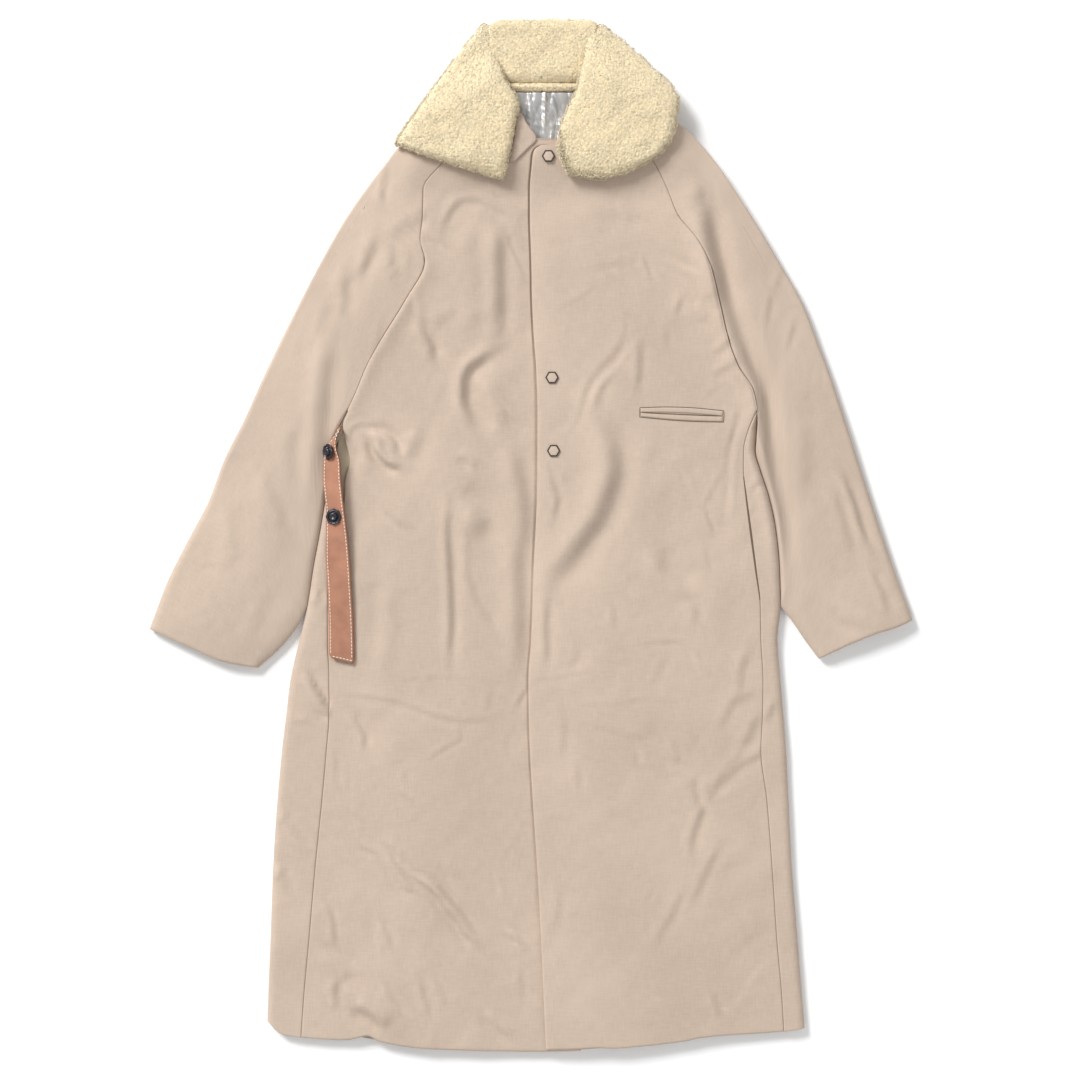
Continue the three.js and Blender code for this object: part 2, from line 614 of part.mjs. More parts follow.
// A strip that lies on the upper front: its points are the front's, moved out
function onFront(rows, columns, rise) {
  const place = (lift) => rows.map((row) => {
    const points = [];
    for (let c = 0; c < columns; c++) {
      const u = c / (columns - 1);
      const x = lerp(row.from[0], row.to[0], u);
      const y = lerp(row.from[1], row.to[1], u) + row.bow * Math.sin(Math.PI * u);
      points.push([x, y, gridHeight(leftTop, x, y) + lift]);
    }
    return points;
  });
  return wall(place(rise + WELT_GAP), place(WELT_GAP));
}

const WELT_UPPER = [
  { from: [131, 146.8], to: [229.5, 142.6], bow: 1.5 },
  { from: [131, 151.8], to: [230.4, 148.2], bow: 2.5 },
];
const WELT_LOWER = [
  { from: [131.4, 142.2], to: [229.4, 136.4], bow: -2 },
  { from: [131, 146.2], to: [229.5, 142], bow: -1.2 },
];

// The strap: a ribbon that leaves the pocket on its edge and eases flat towards its end
const STRAP = [
  { y: 118, left: -240, right: -226, rise: 9 },
  { y: 91, left: -247, right: -227.5, rise: 9 },
  { y: 70, left: -249.5, right: -227, rise: 9 },
  { y: 47, left: -247.2, right: -225, rise: 8 },
  { y: 24, left: -245, right: -222.5, rise: 7 },
  { y: 1, left: -245.5, right: -219.6, rise: 5 },
  { y: -22, left: -246, right: -217.5, rise: 3.4 },
  { y: -67, left: -243.6, right: -214.8, rise: 1.6 },
  { y: -105, left: -242.4, right: -212.8, rise: 0.6 },
  { y: -141, left: -242, right: -212, rise: 0 },
  { y: -147.6, left: -238.5, right: -213.5, rise: 0 },
];
const STRAP_COLUMNS = 4;

function strapPoint(row, u) {
  const x = lerp(row.left, row.right, u);
  const floor = Math.max(topAt(row.left, row.y), topAt(x, row.y), topAt(row.right, row.y));
  return [x, row.y - 3 * u, floor + REST_GAP + row.rise * u * u];
}

function strap() {
  const grid = (lift) => STRAP.map((row) => {
    const points = [];
    for (let c = 0; c < STRAP_COLUMNS; c++) {
      const [x, y, z] = strapPoint(row, c / (STRAP_COLUMNS - 1));
      points.push([x, y, z + lift]);
    }
    return points;
  });
  return wall(grid(STRAP_THICKNESS), grid(0));
}

const FACING = [
  { y: 44, left: -238.6, right: -230 },
  { y: 84, left: -235.6, right: -226 },
  { y: 124, left: -224, right: -219.5 },
];

// Round stud with a flange and a raised centre
function stud(flangeRadius, centreRadius, height) {
  const flange = 0.45 * height;
  const profile = [
    [0, 0], [flangeRadius, 0], [flangeRadius, flange], [centreRadius, flange], [centreRadius, height],
    [0, height],
  ].map(([radius, z]) => new THREE.Vector2(radius, z));
  return new THREE.LatheGeometry(profile, 18).rotateX(Math.PI / 2);
}

function hexagon(radius, Kind = THREE.Shape) {
  const corners = [];
  for (let i = 0; i < 6; i++) {
    const angle = (i * Math.PI) / 3;
    corners.push(new THREE.Vector2(radius * Math.cos(angle), radius * Math.sin(angle)));
  }
  return new Kind(corners);
}

function extrude(shape, depth) {
  return new THREE.ExtrudeGeometry(shape, { depth, bevelEnabled: false });
}

function snapRing() {
  const shape = hexagon(SNAP_ACROSS / 2);
  shape.holes.push(hexagon(SNAP_ACROSS / 2 - SNAP_RING, THREE.Path));
  return extrude(shape, SNAP_HEIGHT);
}

// Assembly
const finish = (color, roughness, metalness = 0) => {
  return new THREE.MeshStandardMaterial({ color, roughness, metalness });
};
const WOOL = finish('#d7c4b3', 0.9);
const SHEARLING = finish('#efe0bd', 0.95);
const LINING_CLOTH = finish('#bcb8b5', 0.45, 0.4);
const LEATHER = finish('#b5795b', 0.55);
const BLACK_METAL = finish('#26262a', 0.4, 0.6);
const SNAP_ENAMEL = finish('#3a3430', 0.5, 0.3);

const coat = new THREE.Group();

function add(name, geometry, material, [x, y, z] = [0, 0, 0]) {
  const mesh = new THREE.Mesh(geometry, material);
  mesh.name = name;
  mesh.position.set(x, y, z);
  coat.add(mesh);
  return mesh;
}

add('back_panel', backPanel, WOOL);
add('front_left', wall(leftTop, leftInside), WOOL);
add('front_right', wall(rightTop, rightInside), WOOL);
add('sleeve_left', sleeve('seamL', 'foldL', SHOULDER_LEFT, CUFF_LEFT, UNDERSIDE_LEFT), WOOL);
add('sleeve_right', sleeve('seamR', 'foldR', SHOULDER_RIGHT, CUFF_RIGHT, UNDERSIDE_RIGHT), WOOL);

for (const [side, rows] of [['left', LEAF_LEFT], ['right', LEAF_RIGHT]]) {
  const floorAt = (x, y) => leafFloor(side, x, y);
  add(`collar_leaf_${side}`, pad(rows, LEAF_COLUMNS, floorAt, COLLAR_THICKNESS, leafPlan), SHEARLING);
}
const standFloor = () => COLLAR_FALL_THICKNESS + 0.8;
add('collar_stand', pad(STAND, 7, standFloor, COLLAR_THICKNESS, spanPlan), SHEARLING);
add('collar_stand_band', pad(STAND_BAND, 7, standFloor, COLLAR_THICKNESS, spanPlan), SHEARLING);
add('collar_back_fall', collarFall(), SHEARLING);

const liningFloor = (x, y) => liftAt(x, y) + WALL + SEAM_GAP;
const flatPad = (rows, columns, floorAt, thickness) => {
  const grid = (lift) => rows.map((row) => {
    const points = [];
    for (let c = 0; c < columns; c++) {
      const [x, y] = spanPlan(row, c / (columns - 1));
      points.push([x, y, floorAt(x, y) + lift]);
    }
    return points;
  });
  return wall(grid(thickness), grid(0));
};
add('lining_neck', flatPad(LINING, 6, liningFloor, LINING_THICKNESS), LINING_CLOTH);

const UNDERCOLLAR = [
  { y: 446, left: -26, right: -20 },
  { y: 462, left: -22.6, right: -3 },
  { y: 473, left: -20.6, right: 7 },
  { y: 492, left: -17.8, right: -5 },
  { y: 504, left: -14.2, right: -11 },
];
const UNDERCOLLAR_REACH = 7;
const rightHeight = (x, y) => gridHeight(rightTop, x, y);
const overFront = (x, y) => restAt(rightHeight, x, y, UNDERCOLLAR_REACH) + SEAM_GAP;
add('undercollar_right', flatPad(UNDERCOLLAR, 3, overFront, 2), WOOL);

add('chest_welt_upper', onFront(WELT_UPPER, 9, WELT_HEIGHT), WOOL);
add('chest_welt_lower', onFront(WELT_LOWER, 9, WELT_HEIGHT), WOOL);
const facingFloor = () => WALL + SEAM_GAP;
add('pocket_facing_right', flatPad(FACING, 3, facingFloor, 1.4), WOOL);

add('strap', strap(), LEATHER);
const STRAP_SNAPS = [
  { name: 'strap_snap_upper', row: 1, u: 0.45, flange: 8, centre: 4.5, height: 6 },
  { name: 'strap_snap_lower', row: 4, u: 0.5, flange: 9.5, centre: 5, height: 6 },
];
for (const { name, row, u, flange, centre, height } of STRAP_SNAPS) {
  const [x, y, z] = strapPoint(STRAP[row], u);
  const tilt = Math.atan2(2 * STRAP[row].rise * u, STRAP[row].right - STRAP[row].left);
  const snap = add(name, stud(flange, centre, height), BLACK_METAL, [x, y, z]);
  snap.rotation.y = -tilt;
  snap.translateZ(STRAP_THICKNESS + 1.8);
}

const SNAPS = [[20.9, 452.2], [25.2, 188.4], [27.1, 100.8]];
SNAPS.forEach(([x, y], i) => {
  const reach = SNAP_ACROSS / 2;
  const offsets = [-reach, 0, reach];
  const spots = offsets.flatMap((dx) => offsets.map((dy) => [x + dx, y + dy]));
  const z = Math.max(...spots.map(([a, b]) => gridHeight(leftTop, a, b))) + SEAM_GAP;
  add(`snap_${i + 1}_ring`, snapRing(), SNAP_ENAMEL, [x, y, z]);
  const cap = extrude(hexagon(reach - SNAP_RING - SEAM_GAP), 0.8 * SNAP_HEIGHT);
  add(`snap_${i + 1}_cap`, cap, WOOL, [x, y, z]);
});

export default coat;
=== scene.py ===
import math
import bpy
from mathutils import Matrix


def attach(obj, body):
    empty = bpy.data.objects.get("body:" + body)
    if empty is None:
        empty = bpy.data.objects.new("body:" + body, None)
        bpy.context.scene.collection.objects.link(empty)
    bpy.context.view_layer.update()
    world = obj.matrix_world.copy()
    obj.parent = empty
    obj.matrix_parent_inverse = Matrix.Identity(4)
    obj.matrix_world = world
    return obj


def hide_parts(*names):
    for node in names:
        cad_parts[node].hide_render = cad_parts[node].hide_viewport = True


bl_info = {
    "name": "Long Wool Coat",
    "version": (1, 0, 0),
    "blender": (4, 5, 0),
    "location": "3D View > Sidebar > Coat",
    "description": "Builds a long wool coat with a shearling collar, laid flat, round its packed solids",
    "category": "Add Mesh",
}

import bpy
import numpy as np

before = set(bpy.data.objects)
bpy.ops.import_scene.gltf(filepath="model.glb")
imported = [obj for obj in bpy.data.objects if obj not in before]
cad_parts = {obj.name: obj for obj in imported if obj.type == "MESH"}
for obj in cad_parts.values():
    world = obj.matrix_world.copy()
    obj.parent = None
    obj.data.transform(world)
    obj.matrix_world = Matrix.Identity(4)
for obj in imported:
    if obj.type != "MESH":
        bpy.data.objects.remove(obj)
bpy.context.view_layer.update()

# Lengths are in millimetres on the plan, +X to the wearer's left and +Y to the collar.
# MM takes them to metres when a mesh is made.
MM = 0.001
# Cloth with its wadding, the air between two layers, and what both layers come to
WALL = 4.0
LAYER_GAP = 2.0
FLAT = 2 * WALL + LAYER_GAP
# The laid fold's radius, and the gaps under the placket and along a seam
ROLL = FLAT / 2
LAP_GAP = 0.5
SEAM_GAP = 0.3
# How far the collar's fall lifts the coat, and the lining's height on the back
LIFT = 11.4
LINING_FLOOR = WALL + 0.3
# The relief never sinks below this, so no layer cuts into the one beneath it
LOWEST = -1.6
# Fine drapes: height, cell and seed of each noise, its direction, and its share across that
DRAPES = (
    (0.75, 30, 3, (0.8, 0.6), 0.45),
    (0.55, 22, 4, (0.8, -0.6), 0.5),
    (0.22, 9, 5, (1.0, 0.0), 1.0),
)
# Heights on the plan: the underarm, the neck, and the tops of the side seams and front edges
UNDERARM = 147.6
UNDERARM_ROWS = [147.6, 147.9, 148.6]
SIDE_SEAM_TOP = 148.2
NECK = 512.4
PLACKET_TOP = 466
UNDERLAP_TOP = 473
# How far the right front runs on under the placket, and the X that it never passes
UNDERLAP = 60
UNDERLAP_END = 60
# How the fronts' edges turn down: depth and radius of a quarter round
PLACKET_ROLL = (0.9, 9.0)
PLACKET_EDGE = (1.0, 1.6)
UNDERLAP_ROUND = (1.5, 2.4)
HEM_ROUND = (1.9, 3.0)
NECK_ROUND = (1.5, 2.4)
# The sleeve's length on the plan, from the raglan seam to the cuff
SLEEVE_RUN = 660

# The body's sections from the hem up to the underarm: side folds, side seams, front edge
BODY = {
    "y": [-612, -558, -486, -402, -318, -258, -218, -174, -126, -86, -42, 6, 47, 78, 102, 126, 147.6],
    "fold_right": [-317, -315.6, -313.2, -310.2, -304.8, -299.4, -294.6, -289.2, -278.4, -268.9, -262.2,
                   -253.4, -246.8, -244.2, -239.4, -231, -220.8],
    "seam_right": [-276, -272.6, -266.4, -259.2, -250.8, -245.4, -242.4, -242.4, -244, -244.2, -244.2,
                   -244.2, -239.5, -237.5, -234.2, -229.2, -219.6],
    "seam_left": [303.6, 300.8, 295.2, 289.7, 283.2, 276, 277.9, 278.6, 276, 275.3, 269.8, 263.4, 258,
                  254.8, 255, 260.4, 269.8],
    "fold_left": [329, 325.2, 320.4, 313.8, 309.6, 306.6, 303.6, 300, 296.4, 300, 298.8, 294.2, 285.6,
                  275.6, 269.5, 271.2, 271.2],
}
# The right front's edge where its side pocket gapes open
POCKET_EDGE = {"y": [-20, 8, 28, 42, 66, 88, 114, 132, 147.6],
               "x": [-244.2, -237, -227, -224.2, -223, -217.4, -222.6, -225.6, -219.6]}
FRONT_EDGE = {
    "y": [-612, -558, -486, -402, -318, -258, -218, -174, -126, -86, -42, 6, 47, 147.6, 200.4, 228, 282,
          327.6, 384, 414, 444, 455, 461, 465.6],
    "x": [18, 15.4, 12, 7.6, 2.2, -1.2, -2.5, -3, 0.2, 1.7, 3.1, 5.4, 7.2, 7.8, 6.2, 4.1, 1.4,
          0.5, -1.2, -1.2, 1.2, 2.4, 5, 12],
}
UPPER_NECKLINE = {"y": [466.6, 474, 512.4], "x": [34, 42, 91]}
LOWER_NECKLINE = {"y": [473.2, 500.4, 507, 512.4], "x": [8, -12, -26, -55]}
RAGLAN = {
    "y": [147.6, 174, 200.4, 228, 282, 327.6, 354, 384, 414, 444, 474, 512.4],
    "right": [-220.8, -208.8, -198, -183, -150, -127.2, -132.6, -129.6, -129, -106.8, -85.2, -61.2],
    "left": [271.2, 265.2, 248.4, 237.6, 224.4, 212.4, 198, 175.2, 163.2, 147.6, 127.2, 97.2],
}
BACK_NECK = {"y": [512.4, 521, 530.4], "right": [-61.2, -48, -36], "left": [97.2, 80, 62]}
HEM = {
    "x": [-317, -299, -221, -196, -181, -114, 18, 121, 186, 205, 301, 329],
    "y": [-583, -599, -606, -601, -608, -617, -620, -614, -607, -603, -596, -592],
}
# The hem's straight base, the height over which it bends to HEM, and how much shorter the upper front is
HEM_BASE = -612.0
HEM_REACH = 126.0
HEM_STEP = 3.0
# The sleeves' plans: shoulder fold, cuff, and the underside from where it leaves the body's fold
SHOULDER = {
    "left": [(97.2, 512.4), (130.8, 510), (160.8, 502.8), (183.6, 488.4), (199.2, 474), (219.6, 450),
             (236.4, 426), (267.6, 378), (296.4, 330), (324, 282), (343.2, 234), (361.2, 186),
             (377, 138), (392.4, 90), (408, 42), (423.6, -6), (440.4, -54), (458.4, -102)],
    "right": [(-61.2, 512.4), (-91.2, 505.2), (-121.2, 493.2), (-145.2, 476.4), (-162, 460.8),
              (-170.4, 450), (-189.6, 426), (-223.2, 378), (-250.8, 330), (-276, 282), (-300, 234),
              (-322.8, 186), (-344.4, 138), (-368.4, 90), (-386.4, 42), (-411.6, -6), (-435.6, -54),
              (-458.4, -112.8)],
}
CUFF = {
    "left": [(458.4, -102), (440.4, -110.4), (410.4, -120), (381.6, -132), (345.6, -148.8)],
    "right": [(-458.4, -112.8), (-435.6, -123), (-402, -138), (-368.4, -152.4), (-327.6, -159.6)],
}
UNDERSIDE = {
    "left": [(310.8, -99.6), (328.8, -126), (345.6, -148.8)],
    "right": [(-277.2, -104.4), (-297.6, -132), (-327.6, -159.6)],
}
# The row of BODY at which it leaves, and the power by which the underside's share of a ring grows
FREE_FROM = 9
UNDERSIDE_SHARPNESS = 6
# Where the collar's fall lies under the coat, and how far out its lift fades
LIFT_ZONE = {"left": -134, "right": 157, "low": 459, "fade": 60}

# Broad swells of the body and sleeves: a path, its half width and its height
SWELLS = [
    {"path": [(-120, 330), (-135, -560)], "half": 105, "height": 5},
    {"path": [(125, 330), (150, -560)], "half": 105, "height": 5},
    {"path": [(195, 400), (400, -100)], "half": 58, "height": 7},
    {"path": [(-165, 390), (-385, -110)], "half": 58, "height": 7},
]
# Creases: the half width, the slope across it, which falls to the lower right, and the path.
# A slope below zero falls to the upper left. Each is a soft step, steepest on its path.
# It fades out at both ends, or only at its far end where it is open, as beside a seam.
CREASES = [
    # Right front, chest: the drag beside the placket, its curl at the waist and the bump above it
    (6.6, 0.41, [(-107, 358), (-103, 371), (-95, 389), (-79, 401), (-61, 400), (-43, 390), (-23, 384)]),
    (16.8, -0.18, [(-97, 346), (-73, 372), (-60, 385)]),
    (14.4, 0.76, [(-48, 386), (-38, 360), (-37, 318), (-36, 282), (-37, 252), (-38, 220)]),
    (26.4, 0.29, [(-64, 360), (-56, 294), (-54, 228)]),
    (9.6, 0.79, [(-37, 224), (-59, 210), (-74, 198), (-80, 180), (-80, 162), (-73, 142), (-61, 122)]),
    (13.2, -0.62, [(-67, 190), (-55, 162), (-37, 126)]),
    (3.6, 0.53, [(-53, 190), (-35, 160), (-17, 138), (6, 122)]),
    (14.4, 0.46, [(-31, 114), (-20, 94), (-12, 66), (-5, 18), (-6, -30)]),
    (4.2, 0.4, [(-31, 364), (-19, 334), (-4, 301)]),
    (21.6, 0.4, [(-18, 388), (-16, 294), (-17, 203)]),
    (8.4, 0.89, [(-138, 260), (-127, 242), (-119, 226), (-114, 205)]),
    (6, -0.46, [(-143, 294), (-137, 270), (-134, 258)]),
    (4.2, 0.44, [(-133, 359), (-115, 352), (-102, 341)]),
    (10.8, 0.18, [(-84, 271), (-108, 256), (-120, 245)]),
    # Right front, waist: the fold that runs in from the pocket, and the long trough
    (7.2, -1.07, [(-198, 127), (-175, 121), (-163, 110), (-157, 92)]),
    (6.6, 1.78, [(-192, 119), (-187, 102), (-174, 86), (-154, 76)]),
    (4.2, 0.46, [(-218, 109), (-215, 125), (-203, 132), (-187, 130), (-172, 122)]),
    (9.6, -0.29, [(-203, 108), (-208, 66)]),
    (13.2, 0.3, [(-138, 133), (-133, 119), (-142, 100), (-150, 85)]),
    (7.2, 0.44, [(-199, 66), (-185, 42), (-163, 18), (-139, 2)]),
    (19.2, 0.41, [(-88, 41), (-67, 34), (-58, 18), (-72, -8)]),
    (7.2, 0.53, [(-89, 96), (-78, 90), (-70, 78)]),
    (7.2, 0.74, [(-97, 47), (-100, 6), (-98, -30), (-96, -66), (-95, -102), (-97, -138), (-98, -169)]),
    (7.2, -0.26, [(-84, 18), (-84, -60)]),
    (13.2, -0.24, [(-180, -42), (-178, -102), (-185, -150), (-197, -176)]),
    (15.6, 0.45, [(-23, 18), (-14, -30), (-13, -78), (-12, -138), (-13, -176)]),
    (8.4, 0.36, [(-79, -42), (-67, -73), (-50, -102), (-32, -122)]),
    # Right front, hip: two crossing drags and the tick that ends them
    (3.6, 0.17, [(-190, -178), (-151, -174), (-108, -170), (-65, -172), (-36, -176), (-6, -179)]),
    (4.8, 0.38, [(-238, -182), (-223, -191), (-199, -194), (-170, -198), (-142, -206), (-113, -217),
        (-84, -223), (-55, -220), (-37, -215)]),
    (4.2, 0.33, [(-86, -221), (-86, -235), (-84, -244), (-96, -251), (-110, -260), (-127, -272)]),
    (3.6, 0.12, [(-84, -244), (-65, -246), (-43, -239)]),
    (6, 0.67, [(-218, -212), (-206, -229), (-199, -246), (-199, -258)]),
    (3.6, 0.11, [(-204, -229), (-175, -236), (-103, -234)]),
    (4.8, 0.28, [(-236, -253), (-234, -280), (-234, -301)]),
    (3.6, 0.27, [(-221, -284), (-218, -306)]),
    (4.2, 0.42, [(-4, -182), (-14, -198), (-19, -209)]),
    (4.8, 0.26, [(-152, -280), (-149, -301)]),
    (4.8, 0.36, [(-166, -304), (-137, -324), (-132, -334)]),
    (7.2, 0.19, [(-52, -186), (-50, -212)]),
    # Right front, skirt: the run of creases down to the hem
    (3.8, -0.98, [(-179, -373), (-166, -388), (-154, -404), (-142, -419), (-131, -427)]),
    (4.2, 0.67, [(-175, -366), (-163, -378), (-154, -389)]),
    (5, 0.75, [(-175, -391), (-163, -409), (-151, -424), (-136, -431)]),
    (4.6, -1.33, [(-151, -397), (-137, -407), (-120, -415), (-106, -426), (-91, -443), (-77, -460),
        (-61, -482)]),
    (6, 1.33, [(-146, -404), (-130, -416), (-115, -431), (-103, -448), (-91, -462), (-82, -476),
        (-67, -491), (-54, -504)]),
    (7.2, 0.31, [(-110, -392), (-89, -414)]),
    (4.2, 0.71, [(-204, -371), (-188, -384)]),
    (4.2, -0.58, [(-209, -352), (-194, -371), (-184, -377)]),
    (4.8, 0.49, [(-218, -328), (-204, -344)]),
    (4.2, -0.71, [(-30, -469), (-19, -476), (-5, -490)]),
    (4.8, 0.49, [(-32, -476), (-14, -490)]),
    (4.8, -0.27, [(-44, -400), (-36, -443)]),
    (4.8, 0.67, [(-254, -436), (-245, -445), (-238, -462), (-235, -484), (-222, -504)]),
    (6, 0.58, [(-182, -460), (-173, -476), (-164, -496)]),
    (4.8, -0.21, [(-188, -460), (-182, -510)]),
    (7.2, 0.49, [(-233, -529), (-234, -551), (-229, -570)]),
    (10.8, -0.33, [(-228, -532), (-206, -541), (-184, -562)]),
    (10.8, 0.87, [(-217, -564), (-194, -575), (-173, -595)]),
    (6, 0.49, [(-178, -534), (-166, -556), (-150, -577)]),
    (6, 0.45, [(-134, -529), (-127, -556), (-119, -580)]),
    (6, 0.4, [(-118, -529), (-98, -562)]),
    (7.2, 0.62, [(-61, -571), (-43, -589), (-22, -606)]),
    (6, 0.27, [(-14, -517), (-10, -558)]),
    (10.8, -0.44, [(-254, -493), (-230, -510), (-211, -529)]),
    # Side strip of the wearer's right
    (5.4, 2.22, [(-271, -160), (-259, -181), (-250, -196), (-241, -210)]),
    (6, 0.45, [(-282, -221), (-270, -228)]),
    (4.8, 0.82, [(-256, -209), (-241, -218)]),
    (4.8, 1.15, [(-298, -320), (-293, -340), (-283, -356), (-271, -371), (-258, -377)]),
    (4.8, 1.33, [(-305, -385), (-295, -412), (-289, -428)]),
    (6, 0.53, [(-258, -66), (-251, -83)]),
    # Left front, chest: the slanting ridge, the great valley below it and the fine line to the armhole
    (18, 0.59, [(78, 152), (89, 124), (100, 100), (102, 78), (95, 52), (85, 24), (67, -2), (47, -30),
        (26, -54), (19, -78)]),
    (7.2, 0.55, [(20, -71), (18, -109), (19, -138), (16, -162)]),
    (21.6, -0.09, [(65, 126), (68, 66), (49, 18), (20, -25)]),
    (4.8, -0.24, [(132, 241), (119, 226), (103, 204), (85, 186), (72, 168), (66, 145)]),
    (6, 0.26, [(115, 272), (109, 234), (95, 212), (79, 194), (67, 176), (60, 152), (53, 132), (42, 115)]),
    (7.2, 0.39, [(131, 233), (130, 198), (126, 167)]),
    (7.2, 0.29, [(98, 190), (84, 173), (79, 150)]),
    (3.1, 0.22, [(18, 263), (53, 281), (90, 305)]),
    (7.2, 0.14, [(65, 316), (89, 323), (124, 328)]),
    (4.2, 0.58, [(133, 332), (138, 320), (146, 305)]),
    (6, -0.43, [(149, 340), (179, 323), (208, 310)]),
    (6, 0.42, [(181, 286), (174, 263)]),
    (10.8, 0.44, [(202, 284), (217, 258)]),
    (6, 0.43, [(240, 234), (220, 215)], "open"),
    (6, 0.31, [(247, 208), (215, 188)], "open"),
    (4.2, 0.23, [(229, 181), (206, 163)]),
    (10.8, 0.11, [(152, 385), (121, 380), (83, 388)]),
    (6, 0.2, [(160, 246), (164, 222)]),
    # Left front, side pocket and waist
    (5.3, -0.35, [(259, 163), (252, 132), (242, 100), (239, 48), (234, 6)]),
    (4.2, 0.29, [(250, 162), (242, 126), (235, 95)]),
    (4.8, 0.25, [(230, 78), (217, 52), (206, 31)]),
    (4.2, 0.71, [(206, 29), (221, 2)]),
    (4.2, 0.4, [(160, 90), (175, 86), (185, 70), (196, 47)]),
    (15.6, 0.44, [(149, -10), (160, -40), (176, -56), (194, -74)]),
    (6, 0.5, [(18, 83), (28, 56), (32, 42), (25, 14)]),
    (4.8, 0.29, [(206, -12), (214, -42)]),
    (8.4, 0.31, [(181, -78), (196, -88), (199, -109)]),
    (6, 0.35, [(96, -85), (102, -112)]),
    (6, 0.18, [(115, -72), (134, -89)]),
    (4.8, 0.37, [(131, -131), (155, -128), (176, -128), (191, -140), (198, -157), (210, -174),
        (221, -185)]),
    (7.2, 0.14, [(163, -144), (155, -160), (144, -181)]),
    (7.2, 0.21, [(47, -126), (55, -144), (42, -160)]),
    # Left front, hip: crease lines left by folding
    (3.6, 0.29, [(1, -175), (23, -172), (47, -167), (73, -162)]),
    (3.6, 0.17, [(54, -145), (80, -150), (104, -152), (145, -149)]),
    (4.2, 0.17, [(28, -198), (59, -203), (95, -203), (133, -197), (176, -198), (208, -196)]),
    (6, 0.18, [(68, -211), (80, -229), (104, -236), (131, -244), (142, -252)]),
    (7.2, 0.23, [(32, -200), (40, -229), (37, -272)]),
    (6, 0.31, [(54, -272), (59, -308)]),
    (4.8, 0.58, [(128, -257), (136, -275), (149, -283)]),
    (4.8, -0.38, [(164, -275), (186, -282), (206, -298)]),
    (6, 0.36, [(167, -246), (180, -272)]),
    # Left front, the star of creases at the side seam and its runs down the skirt
    (9.6, 0.2, [(260, -194), (244, -200), (234, -217), (223, -236)], "open"),
    (9.6, 0.33, [(269, -227), (262, -242), (253, -256)], "open"),
    (7.2, 0.31, [(271, -266), (253, -275), (239, -287), (222, -301), (214, -314)], "open"),
    (6, 0.22, [(257, -257), (239, -275), (218, -298)]),
    (4.8, -0.18, [(248, -295), (229, -311), (216, -320)]),
    (7.2, 0.46, [(188, -300), (198, -318), (206, -328), (200, -344), (193, -371), (196, -392)]),
    (6, -0.57, [(200, -290), (210, -325)]),
    (7.2, 0.29, [(230, -366), (220, -385), (210, -404), (200, -426), (187, -449)]),
    (7.2, 0.27, [(187, -421), (176, -440), (167, -460), (157, -474), (149, -496)]),
    (4.2, 0.32, [(144, -424), (139, -439)]),
    (3.6, 0.23, [(137, -445), (140, -484)]),
    (8.4, 0.27, [(263, -136), (253, -167), (251, -193)]),
    (6, 0.58, [(215, -552), (230, -575)]),
    (4.8, 0.4, [(139, -538), (158, -554)]),
    (7.2, 0.21, [(30, -412), (34, -438), (30, -476)]),
    # Side strip of the wearer's left
    (4.8, 0.48, [(277, 70), (263, 52)]),
    (4.8, 0.22, [(270, 32), (263, 28)]),
    (6, 0.42, [(293, -198), (284, -224)]),
    # Wearer's right sleeve
    (6, 0.6, [(-176, 438), (-176, 422), (-179, 397)]),
    (7.2, 0.62, [(-134, 377), (-145, 370), (-157, 365), (-173, 356)], "open"),
    (9.6, 0.52, [(-181, 359), (-191, 340), (-197, 324), (-204, 307)]),
    (5, 1.07, [(-173, 340), (-163, 318), (-154, 295)]),
    (4.3, -0.53, [(-163, 343), (-150, 310)]),
    (4.8, 0.57, [(-149, 335), (-142, 308)]),
    (10.8, 0.44, [(-221, 316), (-223, 294), (-218, 263)]),
    (4.8, 0.41, [(-182, 258), (-181, 238), (-184, 223)]),
    (14.4, 0.43, [(-233, 252), (-246, 186), (-251, 126), (-256, 66), (-258, 28)]),
    (12, 0.31, [(-323, 78), (-307, 42), (-289, 6)]),
    (16.8, 0.18, [(-359, 42), (-354, -6), (-364, -54)]),
    (12, 0.12, [(-306, -60), (-323, -92), (-337, -126)]),
    (12, 0.2, [(-277, 138), (-287, 102), (-282, 60)]),
    (6, 0.15, [(-402, -48), (-390, -37), (-364, -37)]),
    (9.6, 0.17, [(-241, 282), (-256, 234)]),
    # Wearer's left sleeve
    (8.4, 0.55, [(181, 389), (190, 396), (199, 404), (210, 416)]),
    (15.6, 1.08, [(203, 414), (210, 378), (217, 342), (227, 298), (235, 252)]),
    (13.2, 1.09, [(228, 316), (233, 289), (242, 252), (258, 208), (276, 168), (281, 114), (288, 68),
        (299, 18), (306, -68)]),
    (6, 0.29, [(289, 290), (280, 250)]),
    (6, 0.23, [(318, 260), (306, 220)]),
    (6, 0.17, [(302, 318), (294, 294)]),
    (7.2, -0.35, [(236, 328), (247, 296)]),
    (7.2, 0.89, [(368, 80), (386, 42), (397, 6), (412, -22)]),
    (9.6, 0.27, [(359, 66), (378, 6), (385, -30)]),
    (7.2, 0.44, [(404, -37), (421, -71), (431, -97)]),
    (9.6, 0.28, [(330, -60), (353, -86), (377, -104), (410, -113)]),
    (14.4, 0.16, [(323, 162), (330, 102), (323, 42)]),
]
# The relief's points: their lower left corner, step and number
RASTER = {"left": -480.0, "low": -650.0, "step": 1.6, "columns": 601, "rows": 801}

